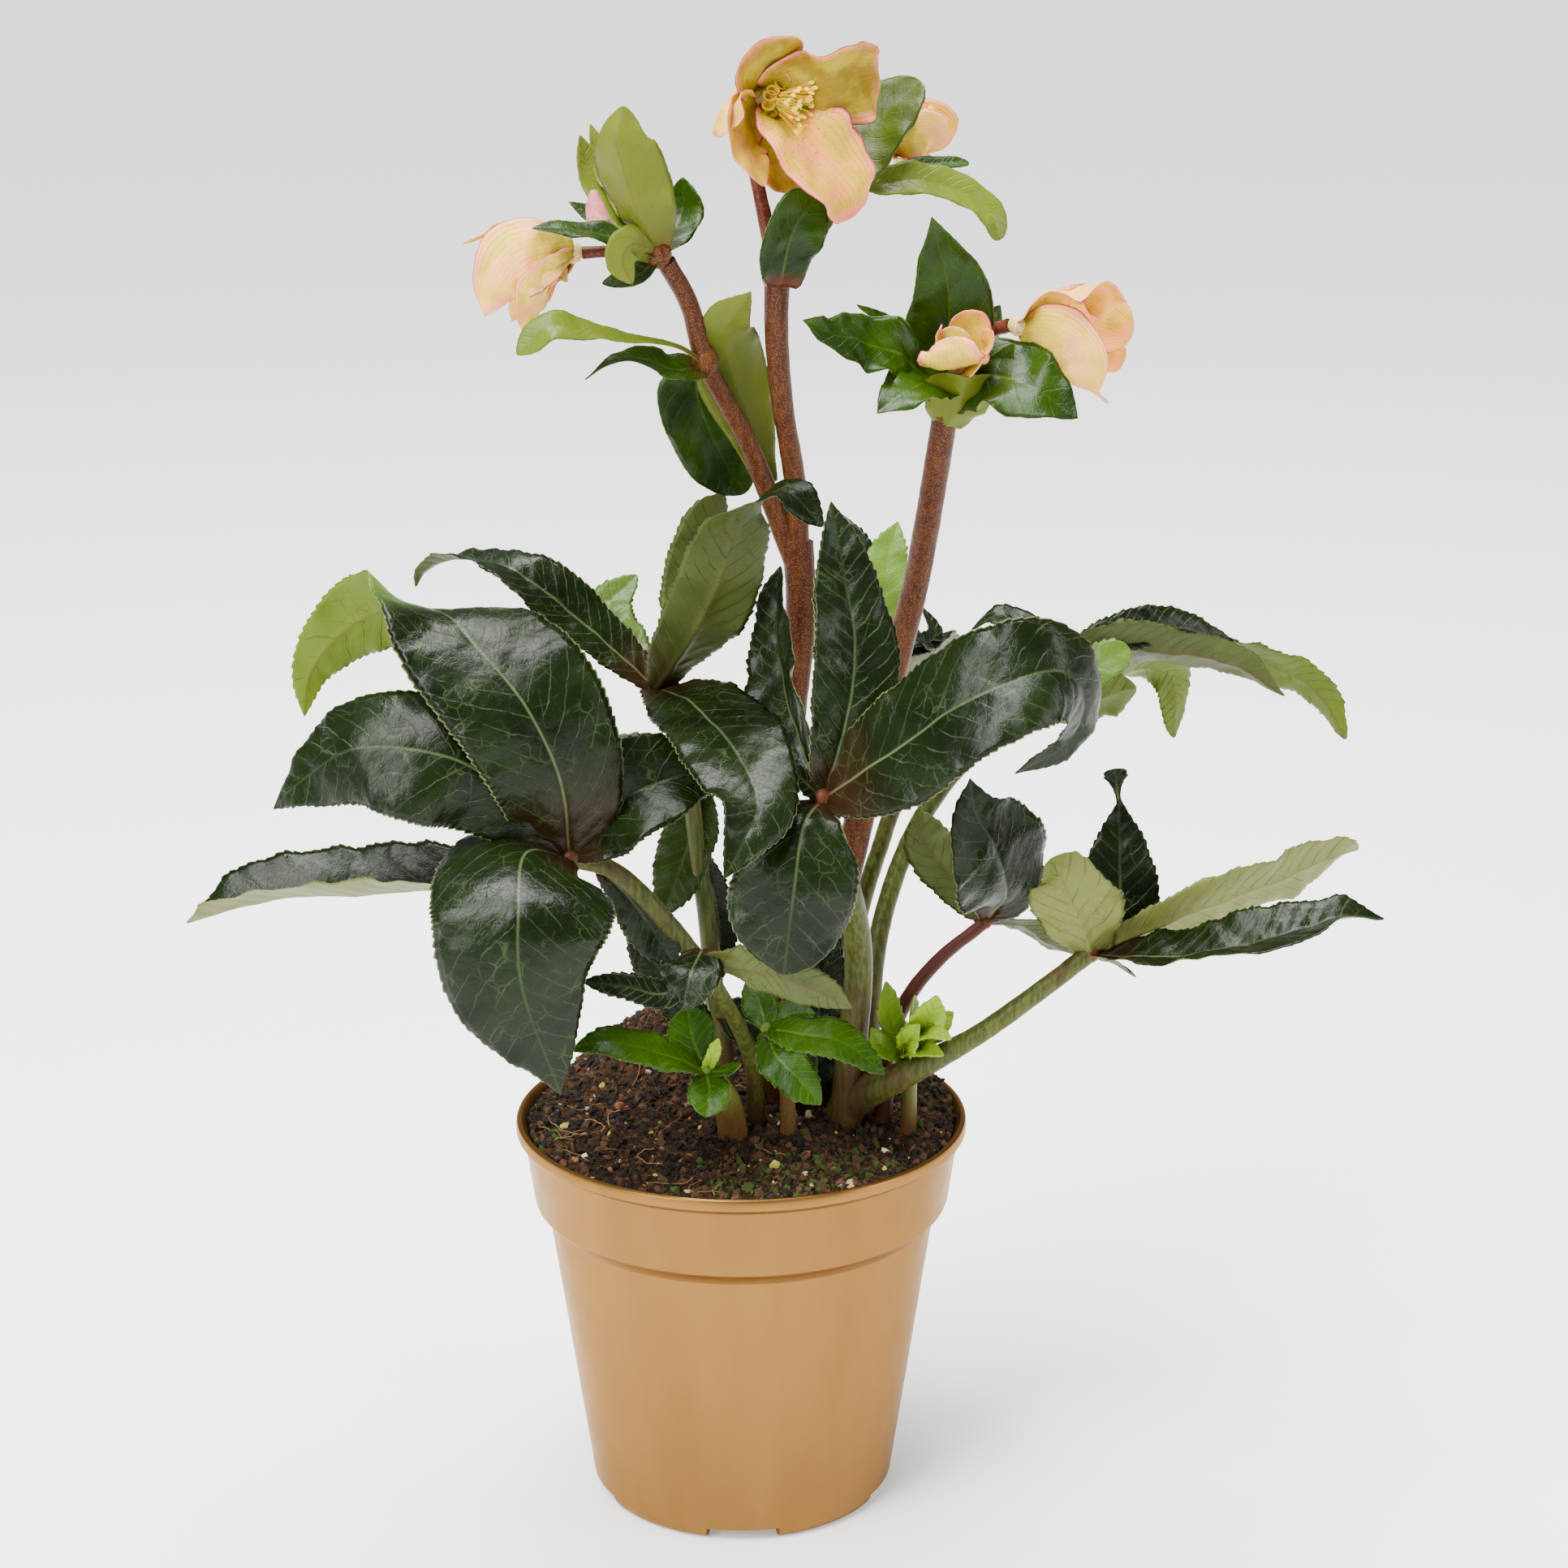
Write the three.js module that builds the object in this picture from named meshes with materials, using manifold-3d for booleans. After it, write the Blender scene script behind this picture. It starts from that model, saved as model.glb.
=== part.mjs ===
// A flowering hellebore in its 15 cm nursery pot, in millimetres, +Z up.
// The origin is the middle of the pot's underside and the plant faces -Y.
import * as THREE from 'three';
import { mergeVertices } from 'three/addons/utils/BufferGeometryUtils.js';
import Module from 'manifold-3d';

const wasm = await Module();
wasm.setup();
const { Manifold, Mesh: SolidMesh } = wasm;

// ---------- driving dimensions ----------
const POT = {
  height: 132, rimRadius: 75, bandTopRadius: 72.3, bandFootRadius: 69.2, bandFootZ: 103.7,
  bodyTopRadius: 64.6, bodyTopZ: 98.7, bodyFootRadius: 51.3, cornerZ: 6.9, footRadius: 48.1,
  rimHeight: 4, rimRound: 0.8, wall: 1.5, floor: 2.6, sides: 32,
  notches: 5, notchWide: 23, notchHigh: 4, notchFrom: 30, padWall: 2, drainRadius: 3, drainFrom: 40,
};
const SOIL = {
  level: 128.5, edgeFrom: 50, edgeDrop: 0.6, edgeInset: 0.4, lump: 1.2, seed: 7,
  rings: [16, 34, 50, 64],
  // Each heap: its height, its middle and how far it spreads.
  heaps: [[24, -26, 44, 24], [7, 58, 20, 17]],
};
// The air left between two pieces that would touch.
const GAP = 0.3;
const STALK = { sides: 6, steps: 7, hubSwell: 0.8 };
const BLADE = {
  rowLength: 17, fewestRows: 3, mostRows: 8, skin: 0.42, keel: 0.9, stem: 2.2,
  teeth: 0.05, broad: 14, calm: 12,
};
const SEPAL = {
  widest: 0.6, blunt: 1.4, foot: 3, fold: 4, arch: -0.012, wave: 0.5, keel: 0.2,
  inner: [-0.45, 0.45], rows: 4,
};
const RECEPTACLE = 3.6;
const HEART = {
  carpels: { from: 4.6, to: 13, radii: [2.4, 1.8] },
  cups: { count: 6, from: 6.4, to: 9.6, inside: 1.4, outside: 4.6, radii: [0.9, 1.4] },
  stamens: { count: 7, from: 10, to: 17, inside: 1.2, outside: 2.6, stagger: 2, radius: 0.8 },
};
const FINISH = {
  gold: { color: '#be986d', roughness: 0.35, metalness: 0.7 },
  peat: { color: '#2a1c14', roughness: 0.95, metalness: 0 },
  oldLeaf: { color: '#2c3a20', roughness: 0.4, metalness: 0 },
  youngLeaf: { color: '#3f7d24', roughness: 0.45, metalness: 0 },
  stem: { color: '#8a5a3c', roughness: 0.6, metalness: 0 },
  bract: { color: '#5c7d2c', roughness: 0.5, metalness: 0 },
  sepal: { color: '#ead9a2', roughness: 0.5, metalness: 0 },
  heart: { color: '#e0b43c', roughness: 0.5, metalness: 0 },
};

// ---------- solids ----------
const vec = (p) => new THREE.Vector3(...p);

function solidOf(positions, triangles) {
  return new Manifold(new SolidMesh({
    numProp: 3,
    vertProperties: Float32Array.from(positions),
    triVerts: Uint32Array.from(triangles),
  }));
}

function solidOfGeometry(geometry) {
  geometry.deleteAttribute('normal');
  geometry.deleteAttribute('uv');
  const merged = mergeVertices(geometry, 1e-4);
  return solidOf(merged.getAttribute('position').array, merged.index.array);
}

function geometryOf(solid) {
  const mesh = solid.getMesh();
  const geometry = new THREE.BufferGeometry();
  const positions = Float32Array.from(mesh.vertProperties);
  geometry.setAttribute('position', new THREE.BufferAttribute(positions, 3));
  geometry.setIndex(new THREE.BufferAttribute(Uint32Array.from(mesh.triVerts), 1));
  return geometry;
}

const join = (solids) => Manifold.union(solids);

// The biggest piece of a solid, without the crumbs a cut may leave.
function whole(solid) {
  return solid.decompose().reduce((big, piece) => (piece.volume() > big.volume() ? piece : big));
}

function ball(at, radius) {
  const geometry = new THREE.IcosahedronGeometry(radius);
  geometry.translate(...at);
  return solidOfGeometry(geometry);
}

function box(size, at, turn) {
  const geometry = new THREE.BoxGeometry(...size);
  geometry.translate(...at);
  geometry.rotateZ(turn);
  return solidOfGeometry(geometry);
}

// ---------- curves ----------
const curveOf = (points) => new THREE.CatmullRomCurve3(points.map(vec), false, 'catmullrom', 0.5);

// Points at equal steps along a smooth curve through the given points.
function along(points, steps) {
  const curve = curveOf(points);
  return Array.from({ length: steps + 1 }, (_, i) => ({
    s: i / steps,
    at: curve.getPointAt(i / steps),
    ahead: curve.getTangentAt(i / steps).normalize(),
  }));
}

// A value between the entries of a list that are spread evenly over 0..1.
function between(list, s) {
  const place = Math.min(s * (list.length - 1), list.length - 1 - 1e-6);
  const i = Math.max(0, Math.floor(place));
  return [list[i], list[Math.min(i + 1, list.length - 1)], place - i];
}

// The mean of two neighbouring directions of a list, made square to the way ahead.
function faceAt(face, s, ahead) {
  const [a, b, t] = between(face, s);
  const normal = vec(a).normalize().lerp(vec(b).normalize(), t);
  return normal.addScaledVector(ahead, -normal.dot(ahead)).normalize();
}

// ---------- stalks ----------
// A round stalk along a path; "grow" makes the slightly larger one that bores its hole.
function stalk({ path, radii, sides = STALK.sides, steps = STALK.steps, grow = 0 }) {
  const first = vec(path[0]);
  const last = vec(path[path.length - 1]);
  const level = Math.abs(last.sub(first).normalize().x) > 0.8;
  const positions = [];
  for (const { s, at, ahead } of along(path, steps)) {
    const [ra, rb, t] = between(radii, s);
    const radius = ra + (rb - ra) * t + grow;
    const across = faceAt([level ? [0, 1, 0] : [1, 0, 0]], s, ahead);
    const over = ahead.clone().cross(across);
    if (s === 0) at.addScaledVector(ahead, -grow);
    if (s === 1) at.addScaledVector(ahead, grow);
    for (let k = 0; k < sides; k++) {
      const angle = (k / sides) * 2 * Math.PI;
      const p = at.clone();
      p.addScaledVector(across, Math.cos(angle) * radius);
      p.addScaledVector(over, Math.sin(angle) * radius);
      positions.push(p.x, p.y, p.z);
    }
  }
  return solidOf(positions, tubeFaces(sides, steps));
}

function tubeFaces(sides, steps) {
  const triangles = [];
  for (let i = 0; i < steps; i++) {
    for (let k = 0; k < sides; k++) {
      const a = i * sides + k;
      const b = i * sides + ((k + 1) % sides);
      triangles.push(a, b, b + sides, a, b + sides, a + sides);
    }
  }
  const end = steps * sides;
  for (let k = 1; k < sides - 1; k++) {
    triangles.push(0, k + 1, k);
    triangles.push(end, end + k, end + k + 1);
  }
  return triangles;
}

// ---------- blades ----------
// A leaflet, bract or sepal is a lens-shaped skin round its rib, folded along the rib,
// arched across it, rippled at its edges and with a keel underneath.
function halfWidth({ half, widest = 0.5, blunt = 1.7, foot = BLADE.stem }, s) {
  const p = blunt * widest;
  const q = blunt * (1 - widest);
  const peak = widest ** p * (1 - widest) ** q;
  const swell = s > 0 && s < 1 ? (s ** p * (1 - s) ** q) / peak : 0;
  return foot * (1 - s) * (1 - swell) + half * swell;
}

// The stations along the rib, two to a row.
function stations(look, rows) {
  return along(look.rib, rows * 2).map((mark) => {
    const up = faceAt(look.face, mark.s, mark.ahead);
    const side = mark.ahead.clone().cross(up);
    return { ...mark, up, side, reach: halfWidth(look, mark.s) };
  });
}

// A point of the blade's middle surface: c runs from -1 to 1 across it.
function bladePoint(look, mark, c, reach = mark.reach) {
  const { fold = 10, arch = 0.006, wave = 0.8, ripples = 2.5 } = look;
  const tilt = THREE.MathUtils.degToRad(fold);
  const a = c * reach;
  const ripple = wave * c * c * Math.sin(ripples * 2 * Math.PI * mark.s + c);
  const lift = Math.abs(a) * Math.sin(tilt) - arch * a * a + ripple * Math.min(1, reach / BLADE.calm);
  const p = mark.at.clone();
  p.addScaledVector(mark.side, a * Math.cos(tilt));
  return p.addScaledVector(mark.up, lift);
}

// The upper and the under skin at one place of the blade.
function skinPair(look, mark, next, c) {
  const { keel = BLADE.keel } = look;
  const p = bladePoint(look, mark, c);
  const across = bladePoint(look, mark, c + 0.05).sub(bladePoint(look, mark, c - 0.05));
  const out = across.cross(bladePoint(look, next, c).sub(p)).normalize();
  const depth = c === 0 ? BLADE.skin + keel * (1 - mark.s) : BLADE.skin;
  return [p.clone().addScaledVector(out, BLADE.skin), p.clone().addScaledVector(out, -depth)];
}

function rowCount({ rib, rows }) {
  const wanted = Math.round(curveOf(rib).getLength() / BLADE.rowLength);
  return rows ?? Math.min(BLADE.mostRows, Math.max(BLADE.fewestRows, wanted));
}

// Each row is a list of vertices from edge to edge. A vertex is a pair of indices, its
// upper and its under one, which are the same at the edges and at the tip.
function blade(look) {
  const { teeth = 0, inner = look.half < BLADE.broad ? [0] : [-0.5, 0, 0.5] } = look;
  const rows = rowCount(look);
  const marks = stations(look, rows);
  const positions = [];
  const add = (p) => positions.push(p.x, p.y, p.z) / 3 - 1;
  const single = (p) => Array(2).fill(add(p));
  const edge = (mark, c, grow) => single(bladePoint(look, mark, c, mark.reach * (1 + grow)));
  const cross = [];
  for (let i = 0; i < rows; i++) {
    const [mark, next] = marks.slice(2 * i, 2 * i + 2);
    const skins = inner.map((c) => skinPair(look, mark, next, c).map(add));
    cross.push([edge(mark, -1, -teeth), ...skins, edge(mark, 1, -teeth)]);
  }
  cross.push(Array(inner.length + 2).fill(single(marks[rows * 2].at)));
  const triangles = footFaces(cross[0]);
  for (let i = 0; i < rows; i++) {
    const mark = marks[2 * i + 1];
    const points = teeth > 0 ? [edge(mark, -1, teeth), edge(mark, 1, teeth)] : null;
    triangles.push(...rowFaces(cross[i], cross[i + 1], points));
  }
  return solidOf(positions, triangles);
}

// The two skins between one row and the next, with a tooth at each edge if it has them.
function rowFaces(row, next, points) {
  const triangles = [];
  const both = (a, b, c) => {
    if (a[0] === b[0] || b[0] === c[0] || c[0] === a[0]) return;
    triangles.push(a[0], b[0], c[0]);
    triangles.push(a[1], c[1], b[1]);
  };
  const last = row.length - 1;
  for (let k = 0; k < last; k++) {
    if (points && k === 0) {
      both(row[0], row[1], points[0]);
      both(row[1], next[1], points[0]);
      both(next[1], next[0], points[0]);
    } else if (points && k === last - 1) {
      both(row[k], row[last], points[1]);
      both(row[k], points[1], next[k]);
      both(points[1], next[last], next[k]);
    } else {
      both(row[k], row[k + 1], next[k + 1]);
      both(row[k], next[k + 1], next[k]);
    }
  }
  return triangles;
}

function footFaces(foot) {
  const triangles = [];
  for (let k = 0; k < foot.length - 1; k++) {
    const [a, b] = [foot[k], foot[k + 1]];
    if (a[0] !== a[1]) triangles.push(b[0], a[0], a[1]);
    if (b[0] !== b[1]) triangles.push(b[0], a[1], b[1]);
  }
  return triangles;
}

// ---------- the big basal leaves ----------
// Each has one stalk from the crown to a hub, and leaflets that fan out from the hub.
// "face" lists the way the upper side looks, from foot to tip.
const LEAVES = {
  leaf_front_left: {
    stalk: {
      path: [[-6, -14, 122], [-6, -15, 150], [-8, -20, 180], [-20, -32, 205], [-38, -43, 229],
        [-53, -48, 236]],
      radii: [4.2, 3.2, 2.8],
    },
    blades: [
      {
        rib: [[-53, -48, 236], [-55, -60, 265], [-65, -60, 288], [-79, -50, 303], [-91, -36, 311],
          [-104, -22, 310], [-118, -14, 305], [-130, -10, 295], [-137, -8, 284], [-139, -8, 271]],
        face: [[0.2, -0.95, 0.2], [0.2, -0.95, 0.25], [0.15, -0.9, 0.35], [0.1, -0.8, 0.6],
          [-0.1, -0.2, 0.95], [-0.3, 0.8, 0.5], [-0.2, 0.97, 0.1], [-0.2, 0.97, 0], [-0.2, 0.97, 0]],
        half: 24, widest: 0.36, blunt: 1.4, fold: 6, rows: 11,
      },
      {
        rib: [[-53, -48, 236], [-67, -60, 257], [-86, -66, 273], [-114, -62, 276], [-133, -52, 264],
          [-145, -44, 251]],
        face: [[0, -0.8, 0.6], [0, -0.9, 0.45], [-0.5, -0.7, 0.5]], half: 21, widest: 0.5, blunt: 2.1,
          fold: -8,
      },
      {
        rib: [[-53, -48, 236], [-65, -70, 245], [-66, -96, 235], [-65, -100, 211], [-55, -88, 173]],
        face: [[0.2, -0.2, 1], [0, -0.7, 0.7], [0, -1, 0.1]], half: 28, widest: 0.42, blunt: 1.9, fold: -6,
      },
      {
        rib: [[-53, -48, 236], [-42, -46, 246], [-28, -44, 254], [-13, -38, 256], [-4, -34, 251]],
        face: [[0, -0.8, 0.6], [0, -0.8, 0.6]], half: 18, widest: 0.45, fold: -14,
      },
      {
        rib: [[-53, -48, 236], [-80, -34, 224], [-111, -30, 219], [-150, -30, 217], [-177, -26, 208]],
        face: [[0, -0.2, 1], [0, -0.1, 1]], half: 20, widest: 0.55, fold: 45,
      },
      {
        rib: [[-44, -44, 231], [-34, -38, 218], [-21, -34, 196]],
        face: [[0, -0.9, 0.3]], half: 8, widest: 0.6,
      },
    ],
  },
  leaf_back_left: {
    stalk: {
      path: [[-8, 0, 122], [-8, 0, 156], [-10, 1, 189], [-14, 3, 222], [-18, 3, 255], [-27, 0, 278]],
      radii: [4, 3, 2.6],
    },
    blades: [
      {
        rib: [[-27, 0, 278], [-42, 4, 291], [-56, 6, 303], [-69, 8, 313], [-81, 14, 317], [-94, 22, 316],
          [-103, 26, 311], [-106, 28, 305]],
        face: [[0.5, -0.7, 0.4], [0.3, -0.7, 0.6], [0.1, -0.6, 0.75], [-0.3, 0.3, 0.8], [-0.6, 0.7, 0.1]],
        half: 11, widest: 0.42, blunt: 1.5, fold: 18,
      },
      {
        rib: [[-27, 0, 278], [-39, 24, 288], [-43, 40, 296], [-34, 50, 304]],
        face: [[0, -0.5, 0.8], [0, -0.8, 0.6]], half: 9, widest: 0.55,
      },
      {
        rib: [[-27, 0, 278], [-16, -24, 280], [-2, -60, 275], [5, -80, 264], [1, -92, 255], [-5, -98, 245]],
        face: [[0, -0.3, 1], [0, -0.6, 0.8], [0.3, -0.9, 0.4]], half: 18, widest: 0.48, blunt: 1.9, foot: 5,
      },
      {
        rib: [[-27, -2, 278], [-16, -14, 297], [-8, -20, 313], [-3, -22, 327], [2, -24, 340], [14, -26, 347],
          [26, -30, 337]],
        face: [[-0.3, 0.9, 0.2], [-0.3, 0.95, 0.1], [-0.2, 0.8, 0.5], [0, 0.1, 1], [0.1, -0.8, 0.6]],
        half: 15, widest: 0.5, blunt: 1.5,
      },
      {
        rib: [[-26, 3, 278], [-17, 20, 297], [-13, 26, 314], [-10, 28, 327], [-5, 28, 336]],
        face: [[-0.2, 0.9, 0.3], [-0.2, 0.9, 0.3]], half: 11, widest: 0.6,
      },
    ],
  },
  leaf_centre: {
    stalk: {
      path: [[33, -13, 122], [36, -15, 158], [38, -22, 193], [34, -36, 222], [25, -62, 259]],
      radii: [5.5, 4.6, 3.2],
    },
    blades: [
      {
        rib: [[25, -62, 259], [32, -62, 283], [35, -56, 305], [32, -48, 325], [28, -40, 347]],
        face: [[0.3, -0.9, 0.2], [0.2, -0.95, 0.2]], half: 13.9, widest: 0.45, fold: 14,
          inner: [-0.5, 0, 0.5],
      },
      {
        rib: [[25, -62, 259], [45, -76, 277], [63, -84, 293], [80, -86, 302], [95, -82, 304], [103, -76, 294],
          [98, -72, 279], [83, -70, 269]],
        face: [[-0.3, -0.8, 0.5], [-0.3, -0.75, 0.6], [-0.1, -0.7, 0.7], [0.5, -0.6, 0.6], [0.8, -0.6, 0],
          [0.5, -0.8, -0.4]],
        half: 20, widest: 0.38, blunt: 1.6, fold: 6, rows: 10,
      },
      {
        rib: [[25, -62, 259], [19, -78, 255], [16, -86, 237], [13, -84, 210]],
        face: [[0, -0.3, 1], [0, -0.95, 0.3], [0, -1, 0]], half: 20, widest: 0.6, fold: -8,
      },
      {
        rib: [[25, -60, 259], [18, -42, 273], [14, -24, 286], [12, -10, 304], [13, -4, 319]],
        face: [[-0.75, -0.6, 0.3], [-0.7, -0.7, 0.1]], half: 14, widest: 0.5, fold: 32, inner: [0],
      },
      { rib: [[25, -62, 259], [18, -66, 267], [11, -66, 271]], face: [[0, -0.7, 0.7]], half: 4, rows: 4 },
    ],
  },
  leaf_back: {
    stalk: {
      path: [[36, 12, 122], [36, 13, 158], [39, 22, 190], [49, 34, 220], [58, 46, 245], [53, 58, 275]],
      radii: [4, 3, 2.4],
    },
    blades: [
      {
        rib: [[53, 58, 275], [49, 60, 291], [50, 66, 305], [54, 74, 317]],
        face: [[0.1, 0.9, 0.2]], half: 9, widest: 0.6,
      },
      {
        rib: [[53, 58, 275], [44, 74, 295], [38, 84, 307], [35, 92, 316]],
        face: [[-0.2, -0.7, 0.6]], half: 9,
      },
      { rib: [[53, 58, 275], [59, 64, 279], [67, 72, 273]], face: [[0, -0.6, 0.8]], half: 5, rows: 4 },
      { rib: [[53, 58, 275], [67, 76, 276], [63, 84, 285]], face: [[0.6, -0.6, 0.6]], half: 4, rows: 4 },
      {
        rib: [[53, 58, 275], [62, 90, 272], [64, 118, 262], [60, 138, 246]],
        face: [[0, 0.4, 0.9]], half: 13.9,
      },
      {
        rib: [[53, 58, 275], [36, 80, 268], [18, 100, 262], [8, 118, 248]],
        face: [[-0.2, 0.4, 0.9]], half: 13.5,
      },
    ],
  },
  leaf_far_right: {
    stalk: {
      path: [[43, 0, 122], [43, 1, 171], [48, 10, 200], [60, 24, 226], [78, 30, 248], [100, 34, 262]],
      radii: [4, 3.2, 2.8],
    },
    blades: [
      {
        rib: [[100, 34, 262], [116, 44, 278], [142, 50, 277], [166, 50, 273], [184, 48, 262]],
        face: [[0, 0.8, 0.6]], half: 11, widest: 0.45, fold: 20,
      },
      {
        rib: [[100, 34, 262], [127, 62, 278], [156, 72, 276], [182, 76, 266], [200, 76, 256], [210, 72, 240]],
        face: [[0, -0.5, 0.85], [0, -0.5, 0.85], [0.3, 0.7, 0.5], [0.5, 0.7, 0.2]], half: 10, widest: 0.55,
          blunt: 1.3,
      },
      {
        rib: [[100, 34, 262], [127, 62, 266], [148, 74, 263], [151, 78, 239]],
        face: [[0, -0.3, 1], [0.2, -0.6, 0.8], [0.5, -0.8, 0.3]], half: 8, widest: 0.6,
      },
      {
        rib: [[100, 34, 262], [105, 30, 261], [118, 28, 267], [131, 26, 271]],
        face: [[0, 0.8, 0.5]], half: 12, widest: 0.6,
      },
      {
        rib: [[100, 34, 262], [109, 22, 274], [119, 20, 281], [128, 22, 285]],
        face: [[0, -0.8, 0.5]], half: 7, widest: 0.7,
      },
      {
        rib: [[100, 34, 262], [103, 50, 277], [96, 60, 284], [87, 64, 286], [79, 66, 281]],
        face: [[0, -0.8, 0.5], [0, -0.2, 1], [-0.5, -0.3, 0.8]], half: 8,
      },
    ],
  },
  leaf_middle_right: {
    stalk: {
      path: [[47, -10, 122], [48, -10, 155], [54, -12, 175], [65, -10, 189], [80, -8, 201]],
      radii: [3.6, 2.8, 2.2],
    },
    blades: [
      {
        rib: [[80, -8, 201], [85, -20, 215], [81, -30, 232], [74, -36, 246], [72, -36, 258]],
        face: [[0.3, -0.8, 0.5], [0.3, -0.85, 0.4]], half: 20, widest: 0.5, blunt: 2.4, fold: 6,
      },
      {
        rib: [[80, -8, 201], [72, -2, 212], [62, 4, 223], [60, 8, 234]],
        face: [[0.3, 0.9, 0.1]], half: 11, widest: 0.55,
      },
      {
        rib: [[80, -8, 201], [93, 0, 197], [104, 6, 188], [113, 10, 183]],
        face: [[0, 0.5, 0.85]], half: 7, widest: 0.5,
      },
    ],
  },
  leaf_low_right: {
    stalk: {
      path: [[38, -25, 122], [42, -26, 141], [54, -29, 157], [75, -32, 170], [95, -32, 185], [112, -30, 198]],
      radii: [6, 4.8, 3.2, 3],
    },
    blades: [
      {
        rib: [[112, -31, 198], [107, -42, 214], [101, -48, 227], [97, -44, 234]],
        face: [[0.1, 0.95, 0.1], [0.2, 0.8, 0.5]], half: 15, widest: 0.6, foot: 6, blunt: 1.4,
      },
      {
        rib: [[112, -29, 197], [121, -22, 211], [122, -16, 227], [123, -12, 244], [122, -12, 254]],
        face: [[0, -0.95, 0.2]], half: 12, widest: 0.42, blunt: 2.2,
      },
      {
        rib: [[112, -30, 198], [139, -34, 211], [167, -30, 220], [189, -24, 228], [199, -16, 228]],
        face: [[0, 0.75, 0.5]], half: 13, widest: 0.55,
      },
      {
        rib: [[112, -30, 197], [137, -46, 202], [164, -54, 210], [187, -52, 217], [202, -48, 215]],
        face: [[0, -0.25, 1]], half: 14, widest: 0.5, fold: 28,
      },
      { rib: [[112, -30, 197], [122, -12, 188], [130, -6, 181]], face: [[0, -0.3, 0.9]], half: 4, rows: 4 },
      { rib: [[112, -30, 198], [127, -4, 200], [142, 8, 202]], face: [[0, 0.5, 0.8]], half: 5, rows: 4 },
    ],
  },
  leaf_low_front: {
    stalk: {
      path: [[5, -20, 122], [5, -21, 142], [3, -31, 164], [-4, -47, 186], [-12, -62, 206]],
      radii: [3.4, 2.8, 2.2],
    },
    blades: [
      {
        rib: [[-12, -62, 206], [2, -72, 208], [18, -78, 206], [32, -78, 200]],
        face: [[0, 0.9, 0.3]], half: 7,
      },
      {
        rib: [[-12, -62, 206], [-14, -72, 202], [-16, -74, 195]],
        face: [[-0.3, -0.9, 0.3]], half: 7, rows: 4,
      },
      {
        rib: [[-12, -62, 206], [-23, -72, 200], [-36, -74, 203], [-49, -72, 204]],
        face: [[0, -0.8, 0.6]], half: 5,
      },
    ],
  },
};

// ---------- young shoots at the crown ----------
const SHOOTS = {
  shoot_left: {
    stalk: { path: [[-3, -27, 122], [-3, -28, 138], [-6, -38, 154], [-11, -54, 167]], radii: [3.6, 3, 2] },
    blades: [
      {
        rib: [[-11, -54, 167], [-21, -60, 174], [-32, -64, 179], [-42, -66, 182], [-53, -66, 179]],
        face: [[0, -0.5, 0.9], [0, -0.6, 0.8]], half: 6, fold: 10,
      },
      {
        rib: [[-11, -54, 167], [-15, -50, 176], [-17, -46, 186]],
        face: [[0, -0.95, 0.3]], half: 8, widest: 0.6,
      },
      {
        rib: [[-11, -54, 167], [-10, -66, 165], [-11, -72, 159]],
        face: [[0, -0.6, 0.8]], half: 7, widest: 0.6,
      },
      { rib: [[-11, -54, 167], [-5, -58, 169], [0, -60, 172]], face: [[0, -0.6, 0.8]], half: 2.6, rows: 3 },
    ],
  },
  shoot_middle: {
    stalk: { path: [[15, -26, 122], [15, -27, 146], [13, -32, 162], [8, -42, 177]], radii: [3, 2.4, 1.8] },
    blades: [
      {
        rib: [[8, -42, 177], [18, -52, 179], [32, -58, 178], [45, -62, 169]],
        face: [[0, -0.7, 0.7]], half: 7,
      },
      {
        rib: [[8, -42, 177], [11, -52, 172], [18, -58, 166], [25, -60, 158]],
        face: [[-0.3, -0.8, 0.5]], half: 7.5,
      },
      { rib: [[8, -42, 177], [6, -32, 182], [2, -24, 187]], face: [[0, -0.8, 0.5]], half: 6 },
      { rib: [[8, -42, 177], [16, -34, 179], [24, -28, 177]], face: [[0, -0.8, 0.5]], half: 4.5 },
    ],
  },
  shoot_right: {
    stalk: { path: [[55, -17, 122], [55, -17, 142], [55, -18, 151], [53, -21, 160]], radii: [2.8, 2.6, 2.2] },
    blades: [
      { rib: [[53, -21, 160], [49, -22, 171], [48, -20, 183]], face: [[0.3, -0.9, 0.2]], half: 4.5 },
      { rib: [[53, -21, 160], [55, -26, 172], [56, -28, 183]], face: [[0.8, -0.5, 0.2]], half: 4 },
      { rib: [[53, -21, 161], [59, -29, 173], [63, -31, 184]], face: [[0.3, -0.9, 0.2]], half: 6 },
      { rib: [[53, -21, 162], [60, -34, 172], [67, -42, 173]], face: [[0, -0.4, 0.9]], half: 4 },
      { rib: [[53, -21, 161], [62, -24, 170], [69, -22, 175]], face: [[0.2, -0.8, 0.5]], half: 4.5 },
    ],
  },
};

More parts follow.
